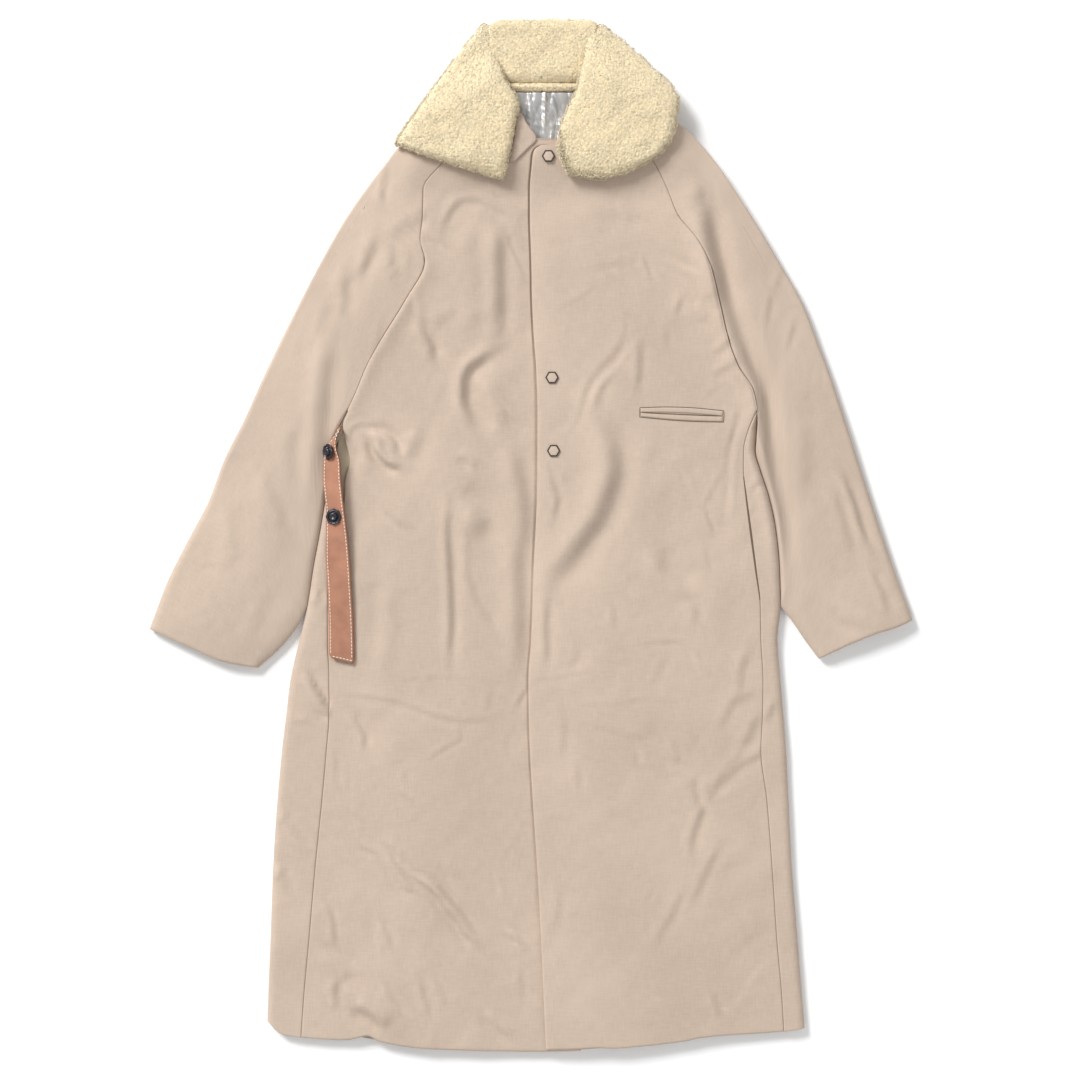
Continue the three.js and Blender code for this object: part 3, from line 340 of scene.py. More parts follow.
# Collar outlines, from the crown of the neck to the leaf point: rolled edge and outer edge
LEAF = {
    "right": {"inner": [(-44, 609.5), (-42, 582), (-34.8, 552), (-23, 531), (-14.4, 512), (-19.2, 492),
                        (-24, 462), (-29, 443), (-33.6, 424.8)],
              "outer": [(-56, 611.5), (-80.4, 583), (-103.2, 553), (-121.2, 528), (-135.6, 507.6),
                        (-146.4, 492), (-156, 477.6), (-159.5, 472), (-162, 467)],
              "belly": [0, 0, 0, 0, 0, 0, 0, 1, 2]},
    "left": {"inner": [(72.5, 607), (64.8, 582), (61.2, 555.6), (54, 531.6), (45.6, 510), (36, 489.6),
                       (33.6, 462), (37.5, 447), (45, 432)],
             "outer": [(83, 611.5), (116.4, 585.6), (145.2, 558), (169.2, 535), (176.4, 516),
                       (172.8, 495.6), (168, 474), (160, 463), (150, 452)],
             "belly": [0, 0, 0, 0, 0, 0, 4, 9, 14]},
}
# The shoulder under each leaf: its neck end, its normal, and where the coat's support fades out
SHOULDER_LINE = {
    "right": {"neck": (-61.2, 512.4), "normal": (-0.4386, 0.8987), "full": 12, "none": 60},
    "left": {"neck": (97.2, 512.4), "normal": (0.352, 0.936), "full": 16, "none": 80},
}
# The plans of the collar's other pads and the neck's layers: a left and a right line by height
STAND = {"y": [542, 556, 583, 604, 612, 617], "left": [-27.5, -34.5, -40.8, -42, -37, -27],
         "right": [57, 60, 63.5, 70.5, 68, 58]}
STAND_BAND = {"y": [531.2, 541.4], "left": [-22, -27], "right": [53.2, 56.5]}
COLLAR_FALL = {"y": [466, 476, 507, 552, 596, 608], "left": [-128, -130, -128, -98, -66, -50],
               "right": [150, 152, 152, 140, 100, 78]}
LINING = {"y": [452, 480, 512, 529.8], "left": [-34, -38, -42, -34], "right": [60, 66, 70, 60]}
# Wool fibres that stand off the rims: their arcs' radius, thickness for it, and depth in the pile
RIM_WISPS = {"size": (1.6, 2.8), "girth": (0.12, 0.18), "sink": 0.4}
LOOSE_WISPS = {"size": (2.6, 4.4), "girth": (0.09, 0.13), "sink": 0.5}
# Where they stand on a leaf's grid, how many, and the step to their seed
RIM_PLACES = [(np.s_[:, -3:], 420, 7, RIM_WISPS), (np.s_[:, :3], 300, 8, RIM_WISPS),
              (np.s_[-3:, :], 300, 9, RIM_WISPS)]
WISP_PLACES = {
    "right": RIM_PLACES,
    "left": RIM_PLACES + [(np.s_[-50:, :6], 240, 10, LOOSE_WISPS), (np.s_[-5:, :50], 160, 12, LOOSE_WISPS)],
}
LINING_THICK = 0.6
PLEAT = {"x": 17, "half": 2.4, "height": 2.2}
# The shearling's thickness where it folds over, and of the fall beneath
COLLAR_THICK = 13.0
FALL_THICK = 11.0
UNDERCOLLAR = {"y": [446, 462, 473, 492, 504], "left": [-26, -22.6, -20.6, -17.8, -14.2],
               "right": [-20, -3, 7, -5, -11]}
# Strips round the chest pocket: the lower and the upper line of each, as two ends and a bow
WELT = {
    "upper": (((131, 146.8), (229.5, 142.6), 1.5), ((131, 151.8), (230.4, 148.2), 2.5)),
    "lower": (((131.4, 141.8), (229.6, 135.9), -1.4), ((131, 146.2), (229.5, 142), -1.2)),
}
# Painted shade: a dark strip in the chest pocket's mouth between the lips, as two ends and a bow
WELT_MOUTH_SHADE = (((131.5, 146.1), (229, 141.8), 0), ((131.5, 147.1), (229, 143.0), 0))
# Painted shade: dark strips along the stitched groove round both lips
WELT_SHADE_LINE = [
    (((130.2, 152.1), (231.1, 148.5), 2.5), ((130.2, 152.8), (231.1, 149.2), 2.5)),
    (((130.2, 140.7), (231.1, 134.8), -1.4), ((130.2, 141.4), (231.1, 135.5), -1.4)),
    (((129.9, 141.0), (130.5, 141.0), 0), ((129.9, 152.5), (130.5, 152.5), 0)),
    (((230.4, 135.2), (231.0, 135.2), 0), ((230.9, 148.8), (231.5, 148.8), 0)),
]
FACING = {"y": [2, 24, 44, 88, 114, 132], "left": [-243, -242, -240, -236, -231, -226.6],
          "right": [-226, -220, -219, -213, -218, -225]}
# Painted shade in the closed side pocket's slit: its ends and half width, and the height of the open one's
# facing
SIDE_SLIT_SHADE = {"low": -78, "high": 70, "half": 1.2}
FACING_TOP = 9.5
# The strap by height on the plan: its edges, and how far its right edge stands up
STRAP = {
    "y": [130, 122.4, 114, 105.6, 91, 70, 47, 24, 1, -22, -67, -105, -141, -147.6],
    "left": [-229, -232.6, -238.4, -244.6, -248, -249, -247.2, -245, -245.5, -246, -243.6, -242.4,
             -242, -238.5],
    "right": [-227.5, -231.6, -233.4, -232.6, -228.4, -227.4, -225.2, -222.5, -219.6, -217.5, -214.8,
              -212.8, -212, -213.5],
    "rise": [6, 7, 8, 9, 9, 8.5, 8, 7, 5, 3.4, 1.6, 0.6, 0, 0],
}
STRAP_THICK = 3.6
STRAP_WIDE = 29
# Its two layers of leather: shift to the right, and lower and upper side
STRAP_LAYERS = ((0.8, 0.0, 1.7), (0.0, 1.85, STRAP_THICK))
# A stitch's length for its pitch, and its sections by share of that length and radius
STITCH_FILL = 0.72
STITCH_SHARES = (0.0, 0.12, 0.5, 0.88, 1.0)
STITCH_RADII = (0.12, 0.42, 0.5, 0.42, 0.12)
# Each stud: its height on the plan, its share of the strap's width, and its turn
STUDS = {"upper": (100.8, 0.47, 0.85), "lower": (23.2, 0.45, 0.25)}
STUD_RADIUS = 9.5
STUD_PROFILE = {
    "share": [0, 0.55, 0.8, 0.96, 1.0, 0.98, 0.93, 0.87, 0.82, 0.76, 0.7, 0.64, 0.55, 0.52, 0.49, 0.42,
              0.3, 0.25, 0],
    "height": [0, 0, 0, 0.1, 0.6, 1.6, 2.3, 2.2, 1.5, 2.2, 2.1, 1.0, 0.6, 1.4, 3.8, 4.6, 4.8, 4.2, 4.1],
}
# The placket's hexagonal snaps: places, size across the corners and the rim's width
SNAP_PLACES = [(20.9, 452.2), (25.2, 188.4), (27.1, 100.8)]
SNAP_ACROSS = 16.0
SNAP_RIM = 1.5

# The stage, in metres: lights as place, size and power, and the view's width, centre and level
LIGHTS = {"key": ((-4.9, 5.4, 5.0), 2.9, 850), "fill": ((2.2, 0.4, 2.4), 1.8, 9),
          "low": ((-0.2, -2.6, 2.4), 1.8, 19)}
SKY_STRENGTH = 0.47
FLOOR_REACH = 4.0
FLOOR_LEVEL = -0.0004
VIEW_WIDTH = 1.296
VIEW_CENTRE = (0.0108, -0.006)
VIEW_LEVEL = 0.01


def linear(hex_colour):
    """sRGB hex to linear RGBA: each channel through the sRGB curve."""
    channels = [int(hex_colour[i:i + 2], 16) / 255 for i in (1, 3, 5)]
    curve = [c / 12.92 if c <= 0.04045 else ((c + 0.055) / 1.055) ** 2.4 for c in channels]
    return (*curve, 1.0)


# Numbers on grids


def smoothstep(low, high, value):
    """0 below low, 1 above high, and 3t^2 - 2t^3 between."""
    t = np.clip((value - low) / (high - low), 0, 1)
    return t * t * (3 - 2 * t)


def through(xs, ys, at):
    """A monotone cubic through the table's points: it never swings past them."""
    xs = np.asarray(xs, float)
    ys = np.asarray(ys, float)
    gap = np.diff(xs)
    slope = np.diff(ys) / gap
    tangent = np.zeros_like(ys)
    tangent[0] = slope[0]
    tangent[-1] = slope[-1]
    if len(xs) > 2:
        before, after = slope[:-1], slope[1:]
        same = before * after > 1e-12
        weight_a = 2 * gap[1:] + gap[:-1]
        weight_b = gap[1:] + 2 * gap[:-1]
        safe_a = np.where(same, before, 1)
        safe_b = np.where(same, after, 1)
        mean = (weight_a + weight_b) / (weight_a / safe_a + weight_b / safe_b)
        tangent[1:-1] = np.where(same, mean, 0)
    at = np.clip(np.asarray(at, float), xs[0], xs[-1])
    i = np.clip(np.searchsorted(xs, at, side="right") - 1, 0, len(xs) - 2)
    t = (at - xs[i]) / gap[i]
    rise = ys[i] * (2 * t**3 - 3 * t**2 + 1) + ys[i + 1] * (3 * t**2 - 2 * t**3)
    return rise + gap[i] * (tangent[i] * (t**3 - 2 * t**2 + t) + tangent[i + 1] * (t**3 - t**2))


def along(points, share):
    """Points on a smooth path at shares of its length: each coordinate through the chord lengths."""
    points = np.asarray(points, float)
    chords = np.concatenate([[0], np.cumsum(np.linalg.norm(np.diff(points, axis=0), axis=1))])
    at = np.asarray(share, float) * chords[-1]
    return np.stack([through(chords, points[:, k], at) for k in range(points.shape[1])], axis=-1)


def lattice_noise(x, y, cell, seed):
    """Value noise from -1 to 1: random numbers on a square lattice, blended by smoothstep."""
    values = np.random.RandomState(seed).uniform(-1, 1, (257, 257))
    u, v = np.asarray(x) / cell + 1000, np.asarray(y) / cell + 1000
    i, j = np.floor(u).astype(int), np.floor(v).astype(int)
    s, t = smoothstep(0, 1, u - i), smoothstep(0, 1, v - j)
    i, j = i % 256, j % 256
    low = values[j, i] * (1 - s) + values[j, i + 1] * s
    high = values[j + 1, i] * (1 - s) + values[j + 1, i + 1] * s
    return low * (1 - t) + high * t


def curl_bumps(x, y, cell, seed):
    """Rounded lumps: one centre jittered in each lattice cell, and a dome round the nearest one."""
    jitter = np.random.RandomState(seed).uniform(0.12, 0.88, (2, 256, 256))
    u, v = np.asarray(x) / cell + 1000, np.asarray(y) / cell + 1000
    i, j = np.floor(u).astype(int), np.floor(v).astype(int)
    nearest = np.full(np.shape(u), 9.0)
    for di in (-1, 0, 1):
        for dj in (-1, 0, 1):
            a, b = (i + di) % 256, (j + dj) % 256
            du = i + di + jitter[0, b, a] - u
            dv = j + dj + jitter[1, b, a] - v
            nearest = np.minimum(nearest, du * du + dv * dv)
    return np.sqrt(np.clip(1 - nearest / 0.62, 0, 1))


# The coat's upper surface as one height field over the plan


def near_path(gx, gy, path, reach):
    """The part of the field near a path: its slices, distance, offset to the right, and share."""
    step = RASTER["step"]
    path = along(path, np.linspace(0, 1, 26))
    low, high = path.min(axis=0) - reach, path.max(axis=0) + reach
    c0, c1 = ((np.array([low[0], high[0]]) - RASTER["left"]) / step).clip(0, gx.shape[1]).astype(int)
    r0, r1 = ((np.array([low[1], high[1]]) - RASTER["low"]) / step).clip(0, gx.shape[0]).astype(int)
    part = slice(r0, r1), slice(c0, c1)
    x, y = gx[part], gy[part]
    nearest = np.full(x.shape, 1e9)
    offset, share = np.zeros(x.shape), np.zeros(x.shape)
    for k in range(len(path) - 1):
        d = path[k + 1] - path[k]
        length = np.hypot(*d)
        ax, ay = x - path[k, 0], y - path[k, 1]
        t = np.clip((ax * d[0] + ay * d[1]) / length**2, 0, 1)
        gap = np.hypot(ax - t * d[0], ay - t * d[1])
        closer = gap < nearest
        nearest = np.where(closer, gap, nearest)
        offset = np.where(closer, (ax * d[1] - ay * d[0]) / length, offset)
        share = np.where(closer, (k + t) / (len(path) - 1), share)
    return part, nearest, offset, share, path


def add_swells(field, gx, gy):
    """Adds each swell: a bell across its path."""
    for row in SWELLS:
        part, nearest, _, _, _ = near_path(gx, gy, row["path"], 2.6 * row["half"])
        field[part] += row["height"] * np.exp(-((nearest / row["half"]) ** 2))


def add_creases(field, gx, gy):
    """Adds each crease: minus slope times the offset times a bell, eased in and out along the path."""
    for half, slope, path, *starts_open in CREASES:
        part, nearest, offset, share, path = near_path(gx, gy, path, 3 * half)
        run = path[-1] - path[0]
        to_lower_right = 1 if run[1] * 0.6 + run[0] * 0.8 > 0 else -1
        start = 1 if starts_open else smoothstep(0, 0.3, share)
        ease = 0.15 + 0.85 * start * smoothstep(1, 0.7, share)
        bell = np.exp(-((nearest / half) ** 2))
        field[part] -= to_lower_right * slope * ease * offset * bell


def lift_at(x, y):
    """The collar's fall lies under the back neck and lifts what is over it by its thickness."""
    out_x = np.maximum(np.maximum(LIFT_ZONE["left"] - x, x - LIFT_ZONE["right"]), 0)
    out_y = np.maximum(LIFT_ZONE["low"] - y, 0)
    return LIFT * (1 - smoothstep(0, LIFT_ZONE["fade"], np.hypot(out_x, out_y)))


def make_field(strength):
    """Relief above the flat coat: swells, creases and fine drapes.

    The drapes are three sizes of noise on a plan that another noise warps. Where the relief comes
    within 3 mm of its lowest level it bends into log(1 + e^x) above that level.
    """
    columns = RASTER["left"] + RASTER["step"] * np.arange(RASTER["columns"])
    rows = RASTER["low"] + RASTER["step"] * np.arange(RASTER["rows"])
    gx, gy = np.meshgrid(columns, rows)
    swell, folds = np.zeros_like(gx), np.zeros_like(gx)
    add_swells(swell, gx, gy)
    add_creases(folds, gx, gy)
    warp_x = gx + 9 * lattice_noise(gx, gy, 46, 1)
    warp_y = gy + 9 * lattice_noise(gx, gy, 46, 2)
    fine = np.zeros_like(gx)
    for height, cell, seed, (a, b), across in DRAPES:
        u, v = a * warp_x + b * warp_y, a * warp_y - b * warp_x
        fine += height * lattice_noise(u, v * across, cell, seed)
    above = swell + strength * folds + fine + 1.2 - LOWEST
    return LOWEST + np.where(above > 3, above, np.log1p(np.exp(np.clip(above, -20, 3))))


FIELD = {}


def relief_at(x, y):
    """The relief field read between its points, in a straight line each way."""
    u = (np.asarray(x) - RASTER["left"]) / RASTER["step"]
    v = (np.asarray(y) - RASTER["low"]) / RASTER["step"]
    i = np.clip(np.floor(u).astype(int), 0, RASTER["columns"] - 2)
    j = np.clip(np.floor(v).astype(int), 0, RASTER["rows"] - 2)
    s, t = u - i, v - j
    field = FIELD["relief"]
    low = field[j, i] * (1 - s) + field[j, i + 1] * s
    high = field[j + 1, i] * (1 - s) + field[j + 1, i + 1] * s
    return low * (1 - t) + high * t


def top_at(x, y):
    """The coat's upper surface: the collar's lift, both walls with their gap, and the relief."""
    return lift_at(x, y) + FLAT + relief_at(x, y)


def hem_place(x, y):
    """Moves the lowest rows onto the hem's curve, fading out upward."""
    share = np.clip((HEM_BASE + HEM_REACH - y) / HEM_REACH, 0, 1)
    return y + share * (through(HEM["x"], HEM["y"], x) - HEM_BASE)


def rounded(distance, radius):
    """A quarter round: 0 away from an edge, rising to 1 at it."""
    share = np.clip(1 - distance / radius, 0, 1)
    return 1 - np.sqrt(1 - share * share)


def turned_down(distance, size):
    """A quarter round of a given depth and radius."""
    depth, radius = size
    return depth * rounded(distance, radius)


# Meshes


def wall_faces(rows, columns, closed):
    """Quads of two grids, outer then inner, and of the strips that join them at their edges."""
    def at(side, r, c):
        return (side * rows + r) * columns + c % columns

    span = columns if closed else columns - 1
    r, c = np.meshgrid(np.arange(rows - 1), np.arange(span), indexing="ij")
    r, c = r.ravel(), c.ravel()
    faces = [
        np.stack([at(0, r, c), at(0, r, c + 1), at(0, r + 1, c + 1), at(0, r + 1, c)], 1),
        np.stack([at(1, r, c), at(1, r + 1, c), at(1, r + 1, c + 1), at(1, r, c + 1)], 1),
    ]
    c = np.arange(span)
    end = rows - 1
    faces.append(np.stack([at(0, 0, c), at(1, 0, c), at(1, 0, c + 1), at(0, 0, c + 1)], 1))
    faces.append(np.stack([at(0, end, c), at(0, end, c + 1), at(1, end, c + 1), at(1, end, c)], 1))
    if not closed:
        r = np.arange(end)
        last = columns - 1
        faces.append(np.stack([at(0, r, 0), at(0, r + 1, 0), at(1, r + 1, 0), at(1, r, 0)], 1))
        faces.append(np.stack([at(0, r, last), at(1, r, last), at(1, r + 1, last), at(0, r + 1, last)], 1))
    return np.concatenate(faces)


def volume_sign(points, quads):
    """Six times the signed volume inside the quads: a.(b x c) + a.(c x d) over their corners."""
    a, b, c, d = (points[quads[:, k]] for k in range(4))
    return np.einsum("ij,ij->i", a, np.cross(b, c) + np.cross(c, d)).sum()


def ring_faces(rings, sides):
    """Quads between neighbouring rings, each a loop of points: a to b on one, b to a on the next."""
    k, m = np.meshgrid(np.arange(rings - 1), np.arange(sides), indexing="ij")
    k, m = k.ravel() * sides, m.ravel()
    n = (m + 1) % sides
    return np.stack([k + m, k + n, k + sides + n, k + sides + m], 1)


def end_faces(rings, sides):
    """Quads in strips across the first and the last ring, where a ring has an even number of points."""
    m = np.arange(sides // 2 - 1)
    across = np.stack([m, m + 1, sides - 2 - m, sides - 1 - m], 1)
    return np.concatenate([across[:, ::-1], across + (rings - 1) * sides])


class Shape:
    """Points in millimetres, with quads, triangles and plan coordinates for the cloth's grain."""

    def __init__(self):
        self.points, self.grain, self.quads, self.triangles = [], [], [], []
        self.count = 0

    def join(self, points, quads, grain=None, triangles=None):
        """Adds points, and faces that already point outwards."""
        self.points.append(points)
        self.grain.append(points[:, :2] if grain is None else grain.reshape(-1, 2))
        self.quads.append(quads + self.count)
        if triangles is not None:
            self.triangles.append(triangles + self.count)
        self.count += len(points)
        return self

    def add(self, points, quads, grain=None):
        """Adds a closed surface, and turns its quads round where their signed volume is below zero."""
        points = points.reshape(-1, 3)
        if volume_sign(points, quads) < 0:
            quads = quads[:, ::-1]
        return self.join(points, quads, grain)

    def wall(self, outer, inner, closed=False, grain=None):
        """Adds two grids with strips between their edges. Where closed, the last column meets the first."""
        points = np.concatenate([outer.reshape(-1, 3), inner.reshape(-1, 3)])
        if grain is not None:
            grain = np.concatenate([grain.reshape(-1, 2)] * 2)
        return self.add(points, wall_faces(*outer.shape[:2], closed), grain)

    def slab(self, x, y, top, bottom):
        """Adds a wall between two heights over one plan."""
        return self.wall(np.dstack([x, y, top]), np.dstack([x, y, bottom]))


def make_piece(name, shape, material, replaces=(), smooth=True, grained=True):
    """Makes the object at the origin, with its place in its mesh and its grain as a UV map."""
    points = np.concatenate(shape.points) * MM
    quads = np.concatenate(shape.quads)
    triangles = np.concatenate(shape.triangles or [np.zeros((0, 3), int)])
    corners = np.concatenate([quads.ravel(), triangles.ravel()]).astype(np.int32)
    sizes = np.repeat([4, 3], [len(quads), len(triangles)]).astype(np.int32)
    mesh = bpy.data.meshes.new(name)
    mesh.vertices.add(len(points))
    mesh.vertices.foreach_set("co", points.ravel())
    mesh.loops.add(len(corners))
    mesh.loops.foreach_set("vertex_index", corners)
    mesh.polygons.add(len(sizes))
    mesh.polygons.foreach_set("loop_start", (np.cumsum(sizes) - sizes).astype(np.int32))
    mesh.polygons.foreach_set("loop_total", sizes)
    mesh.update(calc_edges=True)
    if grained:
        grain = np.concatenate(shape.grain) * MM
        uv = mesh.uv_layers.new(name="grain")
        uv.data.foreach_set("uv", grain[corners].ravel())
    mesh.polygons.foreach_set("use_smooth", np.full(len(sizes), smooth, bool))
    mesh.materials.append(material)
    mesh.validate()
    piece = bpy.data.objects.new(name, mesh)
    bpy.context.scene.collection.objects.link(piece)
    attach(piece, "root")
    if replaces:
        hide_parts(*replaces)
    return piece


# Materials


def add_node(tree, kind, inputs=None, stops=(), **settings):
    """Adds one node. inputs holds values or other nodes' outputs, by socket name or number.

    stops holds the places and colours of a ramp.
    """
    made = tree.nodes.new(kind)
    for key, value in settings.items():
        setattr(made, key, value)
    for stop, (place, colour) in enumerate(stops):
        made.color_ramp.elements[stop].position = place
        made.color_ramp.elements[stop].color = colour
    for key, value in (inputs or {}).items():
        if isinstance(value, bpy.types.NodeSocket):
            tree.links.new(value, made.inputs[key])
        else:
            made.inputs[key].default_value = value
    return made


def new_material(name, colour, roughness, **sockets):
    """A Principled material with its even values set on its own sockets."""
    material = bpy.data.materials.new(name)
    material.use_nodes = True
    material.diffuse_color = colour
    inputs = material.node_tree.nodes["Principled BSDF"].inputs
    inputs["Base Color"].default_value = colour
    inputs["Roughness"].default_value = roughness
    for socket, value in sockets.items():
        inputs[socket.replace("_", " ")].default_value = value
    return material


def shade(colour, factor):
    """The colour with each channel times the factor, at most 1."""
    return tuple(min(c * factor, 1.0) for c in colour[:3]) + (1.0,)


def pattern(material, tone, shades, height, strength, distance):
    """Leads one pattern to the colour and another to the relief, and gives the material back.

    shades holds two pairs: a value of the tone, and the factor of the material's colour there.
    """
    tree = material.node_tree
    inputs = tree.nodes["Principled BSDF"].inputs
    stops = [(place, shade(material.diffuse_color, factor)) for place, factor in shades]
    ramp = add_node(tree, "ShaderNodeValToRGB", {"Fac": tone}, stops)
    tree.links.new(ramp.outputs["Color"], inputs["Base Color"])
    bump = add_node(tree, "ShaderNodeBump", {"Height": height, "Strength": strength, "Distance": distance})
    tree.links.new(bump.outputs["Normal"], inputs["Normal"])
    return material


# Metres between two twill lines
TWILL_PITCH = 0.00035


def wool_gabardine():
    """Wool gabardine, woven as a steep fine twill: dull and even, with a faint diagonal line.

    The twill lines are 0.35 mm apart. The slubs are drawn 1.8 mm wide, coarser than the real
    0.5 mm, so that they show. The nap's tufts are 4 mm and the clouds of dye 140 mm.
    """
    material = new_material("wool_gabardine", tuple(bpy.context.scene.coat_looks.cloth), 0.86,
                            Sheen_Weight=0.25, Sheen_Roughness=0.45, Specular_IOR_Level=0.25)
    tree = material.node_tree
    place = add_node(tree, "ShaderNodeTexCoord")
    whole, grain = place.outputs["Object"], place.outputs["UV"]
    cloud = add_node(tree, "ShaderNodeTexNoise", {"Vector": whole, "Scale": 7.0, "Detail": 3.0})
    slubs = []
    for stretch in ((1.0, 0.12, 1.0), (0.12, 1.0, 1.0)):
        drawn = add_node(tree, "ShaderNodeMapping", {"Vector": grain, "Scale": stretch})
        slub = {"Vector": drawn.outputs[0], "Scale": 560.0, "Detail": 3.0}
        slubs.append(add_node(tree, "ShaderNodeTexNoise", slub))
    woven = add_node(tree, "ShaderNodeMix", {0: 0.5, 2: slubs[0].outputs["Fac"], 3: slubs[1].outputs["Fac"]})
    tone = add_node(tree, "ShaderNodeMix", {0: 0.6, 2: cloud.outputs["Fac"], 3: woven.outputs[0]})
    turned = add_node(tree, "ShaderNodeMapping", {"Vector": grain, "Rotation": (0, 0, math.radians(63))})
    # A wave texture repeats every 2 pi / 20 of a unit
    twill = add_node(tree, "ShaderNodeTexWave",
                     {"Vector": turned.outputs[0], "Scale": 2 * math.pi / 20 / TWILL_PITCH,
                      "Distortion": 1.2, "Detail": 2.0, "Detail Scale": 3.0})
    nap = add_node(tree, "ShaderNodeTexNoise", {"Vector": whole, "Scale": 240.0, "Detail": 4.0})
    relief = add_node(tree, "ShaderNodeMix", {0: 0.6, 2: twill.outputs["Fac"], 3: nap.outputs["Fac"]})
    return pattern(material, tone.outputs[0], ((0.4, 0.93), (0.6, 1.06)), relief.outputs[0], 0.35, 0.0004)


def shearling_pile():
    """Sheepskin shorn to 12 mm: tight curls that scatter light, with painted shade that darkens the gaps
    between them.

    The tufts are 2.8 mm, the fibres' bundles 1.1 mm, the uneven cream 6 mm and its patches 45 mm.
    """
    material = new_material("shearling_pile", tuple(bpy.context.scene.coat_looks.shearling), 0.95,
                            Sheen_Weight=0.35, Sheen_Roughness=0.6, Specular_IOR_Level=0.1,
                            Subsurface_Weight=0.3, Subsurface_Scale=0.003,
                            Subsurface_Radius=(1.0, 0.85, 0.65))
    tree = material.node_tree
    whole = add_node(tree, "ShaderNodeTexCoord").outputs["Object"]
    cream = add_node(tree, "ShaderNodeTexNoise", {"Vector": whole, "Scale": 160.0, "Detail": 4.0})
    patch = add_node(tree, "ShaderNodeTexNoise", {"Vector": whole, "Scale": 22.0, "Detail": 2.0})
    both = add_node(tree, "ShaderNodeMix", {0: 0.25, 2: cream.outputs["Fac"], 3: patch.outputs["Fac"]})
    tuft = add_node(tree, "ShaderNodeTexVoronoi", {"Vector": whole, "Scale": 360.0})
    # Painted shade: each tuft's crown lighter and the gaps between tufts darker; the same pattern also gives
    # the relief
    crown = add_node(tree, "ShaderNodeMath", {0: 1.0, 1: tuft.outputs["Distance"]}, operation="SUBTRACT")
    tone = add_node(tree, "ShaderNodeMix", {0: 0.55, 2: both.outputs[0], 3: crown.outputs[0]})
    fibre = add_node(tree, "ShaderNodeTexNoise", {"Vector": whole, "Scale": 900.0, "Detail": 3.0})
    height = add_node(tree, "ShaderNodeMix", {0: 0.65, 2: fibre.outputs["Fac"], 3: crown.outputs[0]})
    return pattern(material, tone.outputs[0], ((0.42, 0.9), (0.68, 1.14)), height.outputs[0], 0.6, 0.0011)


def coated_lining():
    """Lining cloth coated with silver pigment: a soft metallic gloss over small lengthwise creases, which
    also lighten and darken its colour as painted reflections.

    The creases are 13 mm apart and about three times as long.
    """
    material = new_material("coated_lining", tuple(bpy.context.scene.coat_looks.lining), 0.38, Metallic=0.8)
    tree = material.node_tree
    whole = add_node(tree, "ShaderNodeTexCoord").outputs["Object"]
    drawn = add_node(tree, "ShaderNodeMapping", {"Vector": whole, "Scale": (1.0, 0.3, 1.0)})
    crease = add_node(tree, "ShaderNodeTexNoise",
                      {"Vector": drawn.outputs[0], "Scale": 75.0, "Detail": 3.0, "Distortion": 1.5})
    # Painted reflections: the crease pattern lightens and darkens the silver's colour as well as its relief
    tone = crease.outputs["Fac"]
    return pattern(material, tone, ((0.38, 0.78), (0.62, 1.2)), tone, 0.7, 0.002)


def strap_leather():
    """Vegetable tanned leather, smooth side out: a low satin gloss, uneven tan and a pebble grain.

    The tan's clouds are 17 mm and the pebbles 0.8 mm.
    """
    material = new_material("strap_leather", tuple(bpy.context.scene.coat_looks.leather), 0.5,
                            Specular_IOR_Level=0.4)
    tree = material.node_tree
    whole = add_node(tree, "ShaderNodeTexCoord").outputs["Object"]
    tan = add_node(tree, "ShaderNodeTexNoise", {"Vector": whole, "Scale": 60.0, "Detail": 4.0})
    pebble = add_node(tree, "ShaderNodeTexVoronoi", {"Vector": whole, "Scale": 1300.0})
    return pattern(material, tan.outputs["Fac"], ((0.3, 0.86), (0.7, 1.1)), pebble.outputs["Distance"],
                   0.25, 0.0002)


def plain_finish(name, colour, roughness, **sockets):
    """A hard or dull finish with a fine tooth of 2 mm: lacquered metal, enamel, thread or lining, and the
    painted shade in slits and grooves.
    """
    material = new_material(name, colour, roughness, **sockets)
    tree = material.node_tree
    whole = add_node(tree, "ShaderNodeTexCoord").outputs["Object"]
    tooth = add_node(tree, "ShaderNodeTexNoise", {"Vector": whole, "Scale": 500.0, "Detail": 2.0})
    tone = tooth.outputs["Fac"]
    return pattern(material, tone, ((0.0, 0.88), (1.0, 1.1)), tone, 0.1, 0.0002)


MATERIALS = {}


def finish(name):
    """Each finish is made once and shared."""
    looks = bpy.context.scene.coat_looks
    makers = {
        "wool": wool_gabardine,
        "shearling": shearling_pile,
        "lining": coated_lining,
        "leather": strap_leather,
        # Linen thread drawn through wax: nearly white, with a dull gloss
        "thread": lambda: plain_finish("waxed_thread", tuple(looks.thread), 0.7),
        # Stamped brass under black lacquer: dark, with small clear highlights on each ridge
        "black": lambda: plain_finish("black_lacquered_metal", linear("#45444a"), 0.34, Metallic=0.75),
        # Stamped ring with stoved enamel: a thin dark line round each cap
        "rim": lambda: plain_finish("dark_enamel", linear("#3b342e"), 0.45),
        # Cap enamelled to match the cloth: it all but disappears inside its rim
        "cap": lambda: plain_finish("beige_enamel", tuple(looks.cloth), 0.55),
        # Plain woven pocket cloth: a little yellower than the wool, and dull
        "facing": lambda: plain_finish("facing_cloth", linear("#cbbda4"), 0.92),
        # Painted shade: a soft brown colour laid as a line in a slit or a stitched groove, where little
        # light comes
        "mouth": lambda: plain_finish("painted_groove_shade", linear("#6b5a4a"), 0.95),
    }
    if name not in MATERIALS:
        MATERIALS[name] = makers[name]()
    return MATERIALS[name]


# Cloth pieces

# Distances from an edge at which a wall's rounded edge needs its points
EDGE_STEPS = np.array([0, 0.35, 1.0, 2.0, 3.4])
# The same round the upper front's edge, which lies 60 mm in on the lower front
LAP_STEPS = np.array([53.5, 56, 58, 59.3, 60, 60.7, 61.4, 62.1, 62.8, 63.6, 65, 67])
# The same for the sleeve's fuller fold
SLEEVE_STEPS = np.array([0, 0.15, 0.6, 1.4, 2.6, 4.4, 6.6, 9.0])
